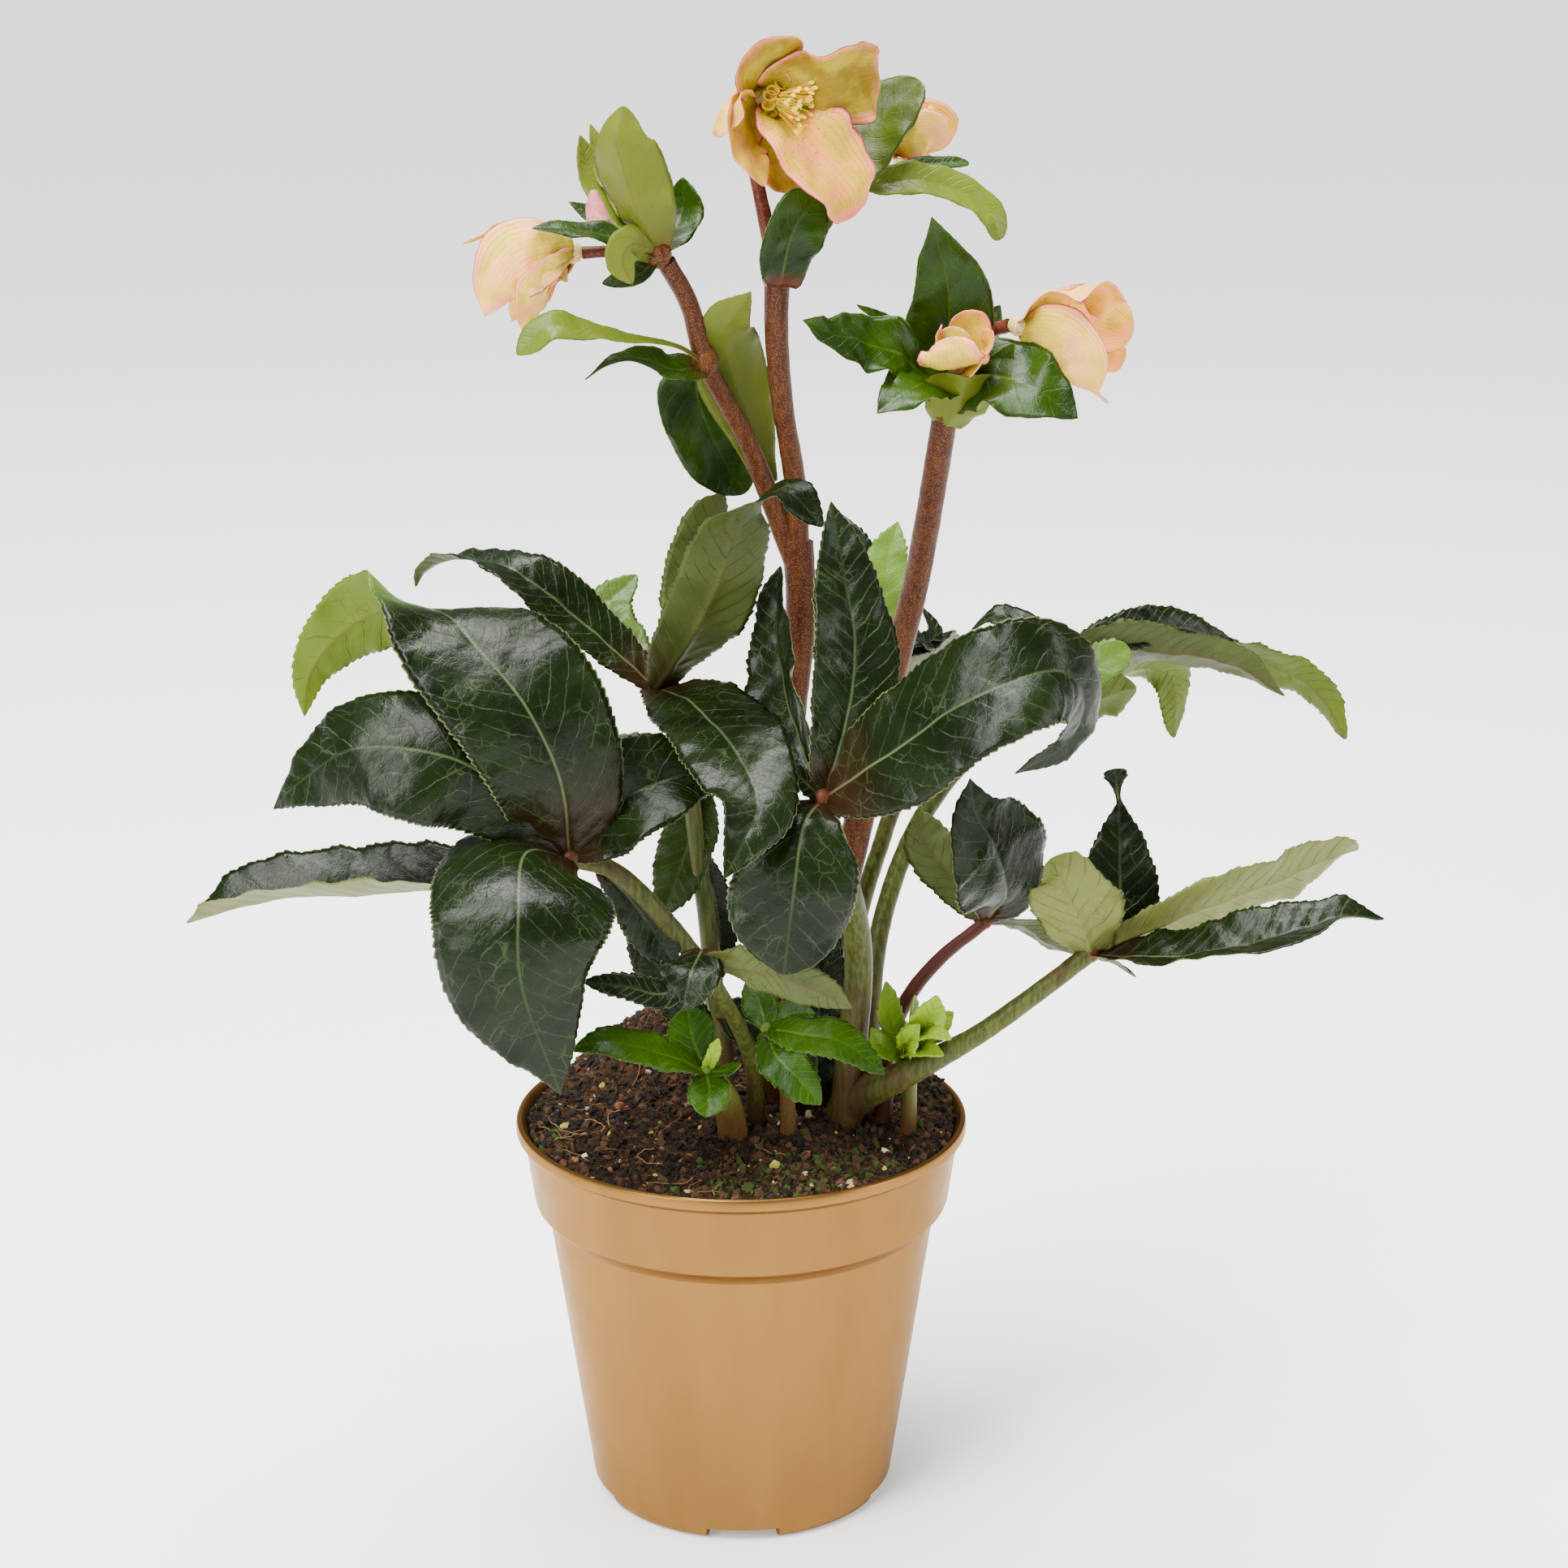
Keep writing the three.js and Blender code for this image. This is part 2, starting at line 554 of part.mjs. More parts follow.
// ---------- flower stems ----------
const STEMS = {
  stem_left_and_centre: [
    {
      path: [[12, 6, 122], [12, 6, 152], [12, 10, 191], [13, 14, 232], [17, 16, 268], [20, 18, 297],
        [19, 18, 322]],
      radii: [5.4, 5, 5], sides: 8, steps: 11,
    },
    {
      path: [[19, 18, 312], [18, 14, 341], [14, 6, 368], [12, 0, 390], [12, -4, 409]],
      radii: [4.2, 3.6, 4.2], sides: 8,
    },
    {
      path: [[19, 18, 312], [10, 14, 337], [3, 8, 356], [-5, 2, 372], [-11, -4, 385], [-15, -8, 402],
        [-22, -13, 416]],
      radii: [3.8, 3.2, 3.2], sides: 8, steps: 10,
    },
  ],
  stem_right: [
    {
      path: [[25, 6, 122], [25, 6, 150], [29, 10, 184], [40, 16, 232], [50, 14, 279], [56, 6, 308],
        [59, -8, 332],
        [61, -20, 352], [63, -29, 371]],
      radii: [4.6, 4.4, 4.2, 4], sides: 8, steps: 13,
    },
  ],
};

// ---------- bracts and stem leaves ----------
// A whorl grows from a knuckle that caps or wraps the stem.
const WHORLS = {
  stem_leaves_left: {
    around: 'stem_left_and_centre', knuckles: [[[-10.5, -4, 384], 5.2]],
    blades: [
      {
        rib: [[-11, -6, 384], [-18, -13, 390], [-26, -20, 393], [-36, -26, 395], [-47, -31, 398],
          [-57, -34, 399],
          [-67, -34, 391]],
        face: [[0, -0.7, 0.7]], half: 4.5, widest: 0.75,
      },
      {
        rib: [[-11, -5, 382], [-20, -12, 383], [-27, -16, 385], [-37, -22, 387], [-47, -26, 382]],
        face: [[0, -0.7, 0.7]], half: 5, widest: 0.3,
      },
      {
        rib: [[-10, -7, 384], [-7, -12, 395], [-1, -13, 402], [7, -12, 407]],
        face: [[-0.4, -0.9, 0.1]], half: 10, widest: 0.4,
      },
      {
        rib: [[-11, 0, 383], [-8, 12, 368], [-3, 16, 351], [4, 19, 336]],
        face: [[0, -0.95, 0.1]], half: 14, widest: 0.5, blunt: 1.2,
      },
    ],
  },
  bracts_left: {
    around: 'stem_left_and_centre', knuckles: [[[-24, -14, 418.5], 4.6]],
    pedicels: [
      { path: [[-24, -14, 419], [-37, -14, 419.5], [-47.5, -14, 419]], radii: [2, 1.6, 2], steps: 4 },
      { path: [[-24, -14, 419], [-33, -12, 419], [-39, -9, 421], [-42, -8, 426]], radii: [1.5, 1.2], steps: 4 },
    ],
    blades: [
      {
        rib: [[-24, -14, 419], [-30, -24, 430], [-34, -27, 442], [-37, -27, 452], [-34, -26, 464]],
        face: [[-0.3, 0.9, 0.1]], half: 12, foot: 4,
      },
      {
        rib: [[-24, -14, 419], [-32, -24, 423], [-35, -26, 418], [-32, -26, 411]],
        face: [[-0.3, 0.9, 0.1]], half: 6, rows: 4,
      },
      {
        rib: [[-24, -14, 419], [-34, 4, 427], [-45, 12, 440], [-49, 14, 452]],
        face: [[0.5, -0.8, 0.2]], half: 7,
      },
      {
        rib: [[-24, -14, 419], [-35, 8, 432], [-42, 16, 444], [-46, 19, 455]],
        face: [[0.5, -0.8, 0.2]], half: 6,
      },
      {
        rib: [[-24, -14, 419], [-20, -4, 424], [-17, 2, 431], [-17, 4, 440]],
        face: [[-0.3, -0.9, 0.3]], half: 8,
      },
      { rib: [[-24, -14, 418], [-31, -12, 412], [-42, -8, 409]], face: [[0, -0.5, 0.8]], half: 6 },
      {
        rib: [[-24, -14, 419], [-41, -18, 425], [-51, -22, 427], [-62, -26, 428]],
        face: [[0, -0.5, 0.8]], half: 5,
      },
      { rib: [[-24, -14, 419], [-38, 12, 423], [-53, 18, 431]], face: [[0, -0.7, 0.7]], half: 5 },
    ],
  },
  bracts_centre: {
    around: 'stem_left_and_centre', knuckles: [[[12, -5, 411.5], 5]],
    pedicels: [
      {
        path: [[12, -5, 412], [9, -4, 425], [6, -1, 439], [4, 2, 450], [6, -1, 462]],
        radii: [2.6, 2.1, 2.4], steps: 6,
      },
      { path: [[12, -5, 412], [20, 10, 425], [32, 28, 437], [44, 37, 446]], radii: [2.2, 1.8, 2], steps: 5 },
    ],
    blades: [
      {
        rib: [[12, -5, 412], [14, -14, 421], [17, -17, 430], [23, -13, 438]],
        face: [[-0.2, 0.9, 0.2]], half: 9, widest: 0.6,
      },
      {
        rib: [[12, -5, 412], [23, 8, 430], [39, 15, 450], [57, 18, 467]],
        face: [[-0.3, -0.8, 0.5]], half: 12, widest: 0.6,
      },
      {
        rib: [[12, -5, 412], [19, 0, 429], [30, 6, 440], [43, 11, 437], [57, 13, 438], [70, 15, 434],
          [79, 15, 427],
          [82, 14, 419]],
        face: [[0, -0.6, 0.8], [0, -0.6, 0.8], [0.6, -0.6, 0.4]], half: 7, widest: 0.76, foot: 1.6,
      },
      {
        rib: [[12, -5, 412], [19, 4, 429], [32, 14, 438], [46, 18, 439], [59, 22, 442], [73, 25, 442]],
        face: [[0, -0.6, 0.8]], half: 3.5, widest: 0.75, foot: 1.6,
      },
      { rib: [[12, -5, 412], [17, 12, 424], [22, 22, 432]], face: [[0, -0.8, 0.4]], half: 6 },
    ],
  },
  bracts_right: {
    around: 'stem_right', knuckles: [[[63, -30, 374], 5.2]],
    pedicels: [
      {
        path: [[64, -30, 377], [70, -25, 389], [76, -26, 396], [82, -30, 399]],
        radii: [2.4, 2, 2.2], steps: 5,
      },
      { path: [[64, -30, 376], [65, -34, 381], [66, -37, 386]], radii: [2.6, 2.4], steps: 3 },
    ],
    blades: [
      {
        rib: [[64, -30, 377], [64, -24, 392], [64, -25, 407], [61, -28, 421], [58, -32, 432]],
        face: [[0, -1, 0.1]], half: 14, widest: 0.42, blunt: 1.6, fold: 14,
      },
      {
        rib: [[64, -30, 377], [50, -36, 390], [38, -42, 395], [28, -48, 399], [19, -52, 404]],
        face: [[0, -0.7, 0.7]], half: 10,
      },
      {
        rib: [[64, -30, 377], [56, -42, 383], [48, -52, 381], [41, -58, 378]],
        face: [[0, -0.5, 0.8]], half: 8,
      },
      {
        rib: [[64, -30, 377], [76, -40, 385], [88, -51, 383], [100, -56, 375]],
        face: [[0, -0.7, 0.6]], half: 11,
      },
      {
        rib: [[64, -31, 378], [67, -40, 380], [70, -45, 376], [72, -45, 369]],
        face: [[0, 0.6, 0.8], [0, 0.9, 0.4]], half: 12, widest: 0.6, rows: 4,
      },
      { rib: [[64, -30, 377], [48, -20, 396], [36, -20, 404]], face: [[0, -0.7, 0.7]], half: 3 },
      { rib: [[64, -30, 377], [74, -16, 392], [81, -8, 402]], face: [[0.3, -0.9, 0.2]], half: 6 },
      { rib: [[64, -30, 377], [77, -35, 386], [83, -40, 395]], face: [[-0.3, -0.9, 0.2]], half: 4, rows: 4 },
    ],
  },
};

// ---------- blooms ----------
// A bloom is set by its receptacle, the way its heart looks, and its sepals; the
// "face" of a sepal is its inner side.
const BLOOMS = {
  bloom_left: {
    at: [-50.5, -14, 419], looks: [-0.8, -0.1, -0.6], holder: 'bracts_left',
    sepals: [
      {
        rib: [[-50, -14, 420], [-64, -8, 424], [-76, -6, 425], [-83, -8, 422]],
        face: [[-0.3, -0.3, -0.9]], half: 10,
      },
      {
        rib: [[-50, -16, 421], [-59, -26, 420], [-69, -30, 414], [-77, -28, 403]],
        face: [[-0.5, 0.6, -0.3], [-0.2, 0.95, -0.2]], half: 12,
      },
      {
        rib: [[-50, -16, 419], [-58, -22, 411], [-64, -24, 403], [-66, -22, 397]],
        face: [[-0.4, 0.6, 0.6]], half: 9,
      },
      {
        rib: [[-50, -12, 420], [-64, -2, 419], [-77, 0, 414], [-81, -4, 408]],
        face: [[-0.2, -0.95, -0.1]], half: 10,
      },
      {
        rib: [[-50, -12, 419], [-60, -4, 410], [-68, -4, 402], [-72, -8, 398]],
        face: [[-0.3, -0.8, 0.5]], half: 9,
      },
    ],
  },
  bloom_centre: {
    at: [7.5, -3.5, 465], looks: [0.75, -0.65, -0.15], spread: 1.5, holder: 'bracts_centre',
    sepals: [
      {
        rib: [[8, -3, 466], [8, -9, 472], [12, -13, 479], [17, -14, 482], [23, -12, 482]],
        face: [[0.6, -0.7, -0.3], [0.3, -0.8, -0.6]], half: 8,
      },
      {
        rib: [[8, -3, 467], [19, -6, 472], [32, -6, 475], [44, 0, 478]],
        face: [[0.2, -0.9, -0.3], [-0.1, -0.9, -0.35]], half: 12.5,
      },
      {
        rib: [[8, -4, 463], [16, -12, 456], [26, -14, 446], [34, -10, 436], [38, -4, 428]],
        face: [[0.4, -0.8, 0.5], [0.2, -0.9, 0.4]], half: 13, rows: 5,
      },
      {
        rib: [[7, -4, 464], [4, -14, 455], [7, -22, 447], [10, -26, 438]],
        face: [[0.75, 0.6, 0.25]], half: 9,
      },
      { rib: [[6, -4, 467], [2, -14, 463], [-3, -22, 454]], face: [[0.85, 0.5, -0.1]], half: 8 },
      { rib: [[8, -4, 462], [11, -7, 454], [14, -7, 444], [19, -6, 436]], face: [[0.1, -0.9, 0.4]], half: 9 },
    ],
  },
  bloom_back: {
    at: [47, 37, 447], looks: [0.9, 0, 0.3], holder: 'bracts_centre',
    sepals: [
      { rib: [[47, 36, 447], [53, 27, 449], [60, 26, 450], [65, 29, 447]], face: [[0.2, 0.95, 0]], half: 9 },
      {
        rib: [[47, 36, 446], [50, 34, 442], [55, 33, 441], [61, 33, 443]],
        face: [[0.2, 0.2, 0.95]], half: 8,
      },
      { rib: [[48, 38, 447], [56, 44, 450], [63, 46, 450], [68, 46, 446]], face: [[0.3, -0.9, 0]], half: 9 },
      {
        rib: [[47, 37, 448], [49, 38, 452], [55, 38, 455], [62, 38, 455]],
        face: [[0.3, -0.2, -0.9]], half: 8,
      },
      { rib: [[48, 39, 446], [55, 48, 445], [62, 50, 445]], face: [[0.2, -0.8, 0.5]], half: 8 },
    ],
  },
  bloom_right: {
    at: [85, -31, 399], looks: [0.93, 0.1, -0.35], holder: 'bracts_right',
    sepals: [
      {
        rib: [[85, -32, 398], [95, -42, 398], [103, -47, 392], [108, -46, 382]],
        face: [[0.5, 0.8, 0], [0.2, 0.95, -0.1]], half: 11,
      },
      {
        rib: [[85, -32, 400], [93, -33, 406], [105, -33, 410], [117, -31, 406]],
        face: [[0.2, -0.35, -0.9]], half: 11,
      },
      {
        rib: [[86, -29, 398], [100, -18, 399], [112, -14, 397], [121, -16, 393]],
        face: [[0.2, -0.95, 0]], half: 10,
      },
      {
        rib: [[85, -31, 398], [96, -31, 387], [106, -29, 379], [113, -29, 376]],
        face: [[0.5, 0.1, 0.85]], half: 9,
      },
      {
        rib: [[86, -29, 398], [102, -17, 391], [113, -13, 387], [118, -14, 383]],
        face: [[0.2, -0.85, 0.5]], half: 10,
      },
    ],
  },
  bloom_opening: {
    at: [66, -37.5, 388], holder: 'bracts_right',
    sepals: [
      {
        rib: [[66, -38, 387], [64, -46, 390], [63, -49, 395], [62, -48, 398]],
        face: [[0, 0.2, 1], [0.1, 0.9, 0.2]], half: 9,
      },
      {
        rib: [[66, -37, 388], [61, -40, 393], [59, -39, 399], [60, -38, 404]],
        face: [[0.9, 0.1, 0.3]], half: 6,
      },
      {
        rib: [[67, -36, 388], [69, -32, 393], [69, -32, 397], [68, -34, 401]],
        face: [[-0.1, -0.9, 0.2]], half: 6,
      },
      {
        rib: [[67, -37, 387], [71, -42, 391], [73, -43, 395], [72, -41, 399]],
        face: [[-0.9, 0.1, 0.3]], half: 5,
      },
    ],
  },
};
const BUD = {
  path: [[-41, -8, 423], [-43, -8, 429], [-44, -7, 434], [-44, -6, 437]], radii: [2.2, 3.8, 3, 1],
    sides: 8, steps: 5,
};

function bloomFrame({ at, looks }) {
  const axis = vec(looks).normalize();
  const up = new THREE.Vector3(0, 0, 1).addScaledVector(axis, -axis.z).normalize();
  return { at: vec(at), axis, up, right: axis.clone().cross(up) };
}

function bloomPoint(frame, angle, out, forward) {
  const p = frame.at.clone().addScaledVector(frame.axis, forward);
  p.addScaledVector(frame.up, Math.cos(angle) * out);
  p.addScaledVector(frame.right, Math.sin(angle) * out);
  return [p.x, p.y, p.z];
}

function sepals(bloom) {
  return join([ball(bloom.at, RECEPTACLE), ...bloom.sepals.map((look) => blade({ ...SEPAL, ...look }))]);
}

function carpels(frame) {
  const { from, to, radii } = HEART.carpels;
  return stalk({ path: [bloomPoint(frame, 0, 0, from), bloomPoint(frame, 0, 0, to)], radii, steps: 1 });
}

function nectaryCup(frame, k, spread) {
  const { count, from, to, inside, outside, radii } = HEART.cups;
  const angle = (k / count) * 2 * Math.PI;
  const path = [bloomPoint(frame, angle, inside, from), bloomPoint(frame, angle, outside * spread, to)];
  return stalk({ path, radii, sides: 3, steps: 1 });
}

function stamen(frame, k, spread) {
  const { count, from, to, inside, outside, stagger, radius } = HEART.stamens;
  const angle = (k / count) * 2 * Math.PI + 0.2;
  const out = (outside + stagger * (k % 2)) * spread;
  const path = [bloomPoint(frame, angle, inside, from), bloomPoint(frame, angle, out, to + (k % 3))];
  return stalk({ path, radii: [radius, radius], sides: 3, steps: 1 });
}

// The carpels in the middle, a ring of nectary cups and a tuft of stamens.
function heart(bloom) {
  const frame = bloomFrame(bloom);
  const spread = bloom.spread ?? 1;
  const solids = [carpels(frame)];
  for (let k = 0; k < HEART.cups.count; k++) solids.push(nectaryCup(frame, k, spread));
  for (let k = 0; k < HEART.stamens.count; k++) solids.push(stamen(frame, k, spread));
  return join(solids);
}

// ---------- pot and soil ----------
function lathe(outline, sides) {
  const points = outline.map(([r, z]) => new THREE.Vector2(r, z));
  const geometry = new THREE.LatheGeometry(points, sides);
  geometry.rotateX(Math.PI / 2);
  return solidOfGeometry(geometry);
}

function outerWall() {
  return [
    [POT.footRadius, 0], [POT.footRadius + 2.3, 2.2], [POT.bodyFootRadius, POT.cornerZ],
    [POT.bodyTopRadius, POT.bodyTopZ], [POT.bandFootRadius, POT.bandFootZ],
    [POT.bandTopRadius, POT.height - POT.rimHeight - 2], [POT.rimRadius, POT.height - POT.rimHeight],
    [POT.rimRadius, POT.height - POT.rimRound], [POT.rimRadius - POT.rimRound, POT.height],
  ];
}

function innerWall(inset) {
  return [
    [POT.footRadius - inset, POT.floor + inset - POT.wall], [POT.bodyFootRadius - inset, POT.cornerZ],
    [POT.bodyTopRadius - inset, POT.bodyTopZ + 0.6], [POT.bandFootRadius - inset, POT.bandFootZ + 0.6],
    [POT.bandTopRadius - inset, POT.height - POT.rimHeight - 1.4],
  ];
}

const notchAngles = Array.from({ length: POT.notches }, (_, k) => (k / POT.notches - 0.25) * 2 * Math.PI);

// The raised floor over the drainage notches; they run out past the foot of the wall.
function pads(grow) {
  const wide = POT.notchWide + 2 * (POT.padWall + grow);
  const high = POT.notchHigh + POT.padWall + grow;
  const from = POT.notchFrom - POT.padWall - grow;
  const long = POT.rimRadius - from;
  return join(notchAngles.map((turn) => box([long, wide, high], [from + long / 2, 0, high / 2], turn)));
}

function notch(turn) {
  const long = POT.rimRadius - POT.notchFrom;
  return box([long, POT.notchWide, POT.notchHigh * 2], [POT.notchFrom + long / 2, 0, 0], turn);
}

function drain(turn) {
  const wide = 2 * POT.drainRadius;
  return box([wide, wide, POT.notchHigh * 4], [POT.drainFrom, 0, 0], turn);
}

function pot() {
  const brim = [POT.bandTopRadius - POT.wall + 0.6, POT.height];
  const inside = innerWall(POT.wall).reverse();
  const hollow = lathe([[0, 0], ...outerWall(), brim, ...inside, [0, POT.floor]], POT.sides);
  const filled = lathe([[0, 0], ...outerWall(), [0, POT.height]], POT.sides);
  const shell = hollow.add(pads(0).intersect(filled));
  return shell.subtract(join([...notchAngles.map(notch), ...notchAngles.map(drain)]));
}

function soilHeight(x, y, random) {
  const r = Math.hypot(x, y);
  const drop = SOIL.edgeDrop * Math.max(0, (r - SOIL.edgeFrom) / 20) ** 2;
  let height = SOIL.level - drop + SOIL.lump * (random() - 0.5) * 2;
  for (const [high, hx, hy, spread] of SOIL.heaps) {
    height += high * Math.exp(-((x - hx) ** 2 + (y - hy) ** 2) / spread ** 2);
  }
  return height;
}

function randomFrom(seed) {
  let state = seed;
  return () => {
    state = (state * 16807) % 2147483647;
    return state / 2147483647;
  };
}

function soilBlock() {
  const random = randomFrom(SOIL.seed);
  const wall = innerWall(POT.wall + GAP);
  const brim = wall[wall.length - 1];
  const sides = POT.sides;
  const positions = [0, 0, soilHeight(0, 0, random)];
  const ring = (r, height) => {
    for (let k = 0; k < sides; k++) {
      const angle = (k / sides) * 2 * Math.PI + Math.PI / 2;
      const x = Math.cos(angle) * r;
      const y = Math.sin(angle) * r;
      positions.push(x, y, height(x, y));
    }
  };
  for (const r of SOIL.rings) ring(r, (x, y) => soilHeight(x, y, random));
  ring(brim[0] - SOIL.edgeInset, () => brim[1] - SOIL.edgeDrop);
  for (const [r, z] of wall.slice(0, -1).reverse()) ring(r, () => z);
  const count = SOIL.rings.length + wall.length;
  const centre = positions.push(0, 0, POT.floor + GAP) / 3 - 1;
  const triangles = [];
  for (let k = 0; k < sides; k++) {
    const n = (k + 1) % sides;
    triangles.push(0, 1 + k, 1 + n);
    for (let i = 0; i < count - 1; i++) {
      const a = 1 + i * sides;
      triangles.push(a + k, a + sides + k, a + sides + n, a + k, a + sides + n, a + n);
    }
    const last = 1 + (count - 1) * sides;
    triangles.push(last + k, centre, last + n);
  }
  return solidOf(positions, triangles).subtract(pads(GAP));
}

// ---------- assembly ----------
const plant = new THREE.Group();

function place(name, solid, finish) {
  const mesh = new THREE.Mesh(geometryOf(solid), new THREE.MeshStandardMaterial(FINISH[finish]));
  mesh.name = name;
  plant.add(mesh);
}

function foliage({ stalk: leg, blades }, teeth) {
  const hub = ball(leg.path[leg.path.length - 1], leg.radii[leg.radii.length - 1] + STALK.hubSwell);
  return join([stalk(leg), hub, ...blades.map((look) => blade({ teeth, ...look }))]);
}

function boreFor(lengths) {
  return join(lengths.map((length) => stalk({ ...length, grow: GAP })));
}

const rooted = [];
for (const [name, leaf] of Object.entries(LEAVES)) {
  place(name, foliage(leaf, BLADE.teeth), 'oldLeaf');
  rooted.push(leaf.stalk);
}
for (const [name, shoot] of Object.entries(SHOOTS)) {
  place(name, foliage(shoot, 0), 'youngLeaf');
  rooted.push(shoot.stalk);
}
for (const [name, lengths] of Object.entries(STEMS)) {
  place(name, join(lengths.map(stalk)), 'stem');
  rooted.push(lengths[0]);
}
for (const [name, { around, knuckles, pedicels = [], blades }] of Object.entries(WHORLS)) {
  const balls = knuckles.map(([at, radius]) => ball(at, radius));
  const solids = [...balls, ...pedicels.map(stalk), ...blades.map(blade)];
  place(name, whole(join(solids).subtract(boreFor(STEMS[around]))), 'bract');
}
for (const [name, bloom] of Object.entries(BLOOMS)) {
  const ring = whole(sepals(bloom).subtract(boreFor(WHORLS[bloom.holder].pedicels)));
  place(name, ring, 'sepal');
  if (bloom.looks) place(`${name}_heart`, whole(heart(bloom).subtract(ring)), 'heart');
}
place('bud_left', stalk(BUD).subtract(boreFor(WHORLS.bracts_left.pedicels)), 'sepal');
place('potting_soil', soilBlock().subtract(boreFor(rooted)), 'peat');
place('pot', pot(), 'gold');

export default plant;
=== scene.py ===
"""A flowering hellebore in its gold nursery pot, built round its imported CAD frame. Run it as a script."""
import math

import bpy
import numpy as np
from bpy.props import FloatProperty, FloatVectorProperty, IntProperty, PointerProperty
from mathutils import Matrix, Vector


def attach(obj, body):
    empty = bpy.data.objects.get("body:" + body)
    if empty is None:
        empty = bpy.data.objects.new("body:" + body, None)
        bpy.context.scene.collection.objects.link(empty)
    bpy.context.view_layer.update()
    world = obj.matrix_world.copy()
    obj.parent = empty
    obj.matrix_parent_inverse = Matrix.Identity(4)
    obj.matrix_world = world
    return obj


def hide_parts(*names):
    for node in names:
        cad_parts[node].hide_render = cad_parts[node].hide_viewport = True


bl_info = {
    "name": "Potted hellebore",
    "version": (1, 0, 0),
    "blender": (4, 5, 0),
    "location": "View3D > Sidebar > Hellebore",
    "description": "Leaves, blooms, stems, soil and pot of a flowering hellebore",
    "category": "Add Mesh",
}

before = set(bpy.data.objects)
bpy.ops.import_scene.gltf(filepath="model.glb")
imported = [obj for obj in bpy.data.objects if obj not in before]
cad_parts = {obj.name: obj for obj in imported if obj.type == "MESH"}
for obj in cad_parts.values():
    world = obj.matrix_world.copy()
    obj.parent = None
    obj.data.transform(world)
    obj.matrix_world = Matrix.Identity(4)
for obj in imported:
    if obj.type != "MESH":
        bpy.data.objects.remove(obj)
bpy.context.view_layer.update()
MM = 0.001


def stalk(path, radii, **more):
    """A stalk's path and its radii, spread evenly along it. flush is how red it is along it."""
    return dict(path=path, radii=radii, **more)


def blade(half, rib, face, **form):
    """A blade: half its width, its midrib beyond the hub or "start", and the way or ways its upper side looks
    from foot to tip. A sepal's midrib is whole. What else forms a blade is named at PLAIN."""
    return dict(half=half, rib=rib, face=face, **form)


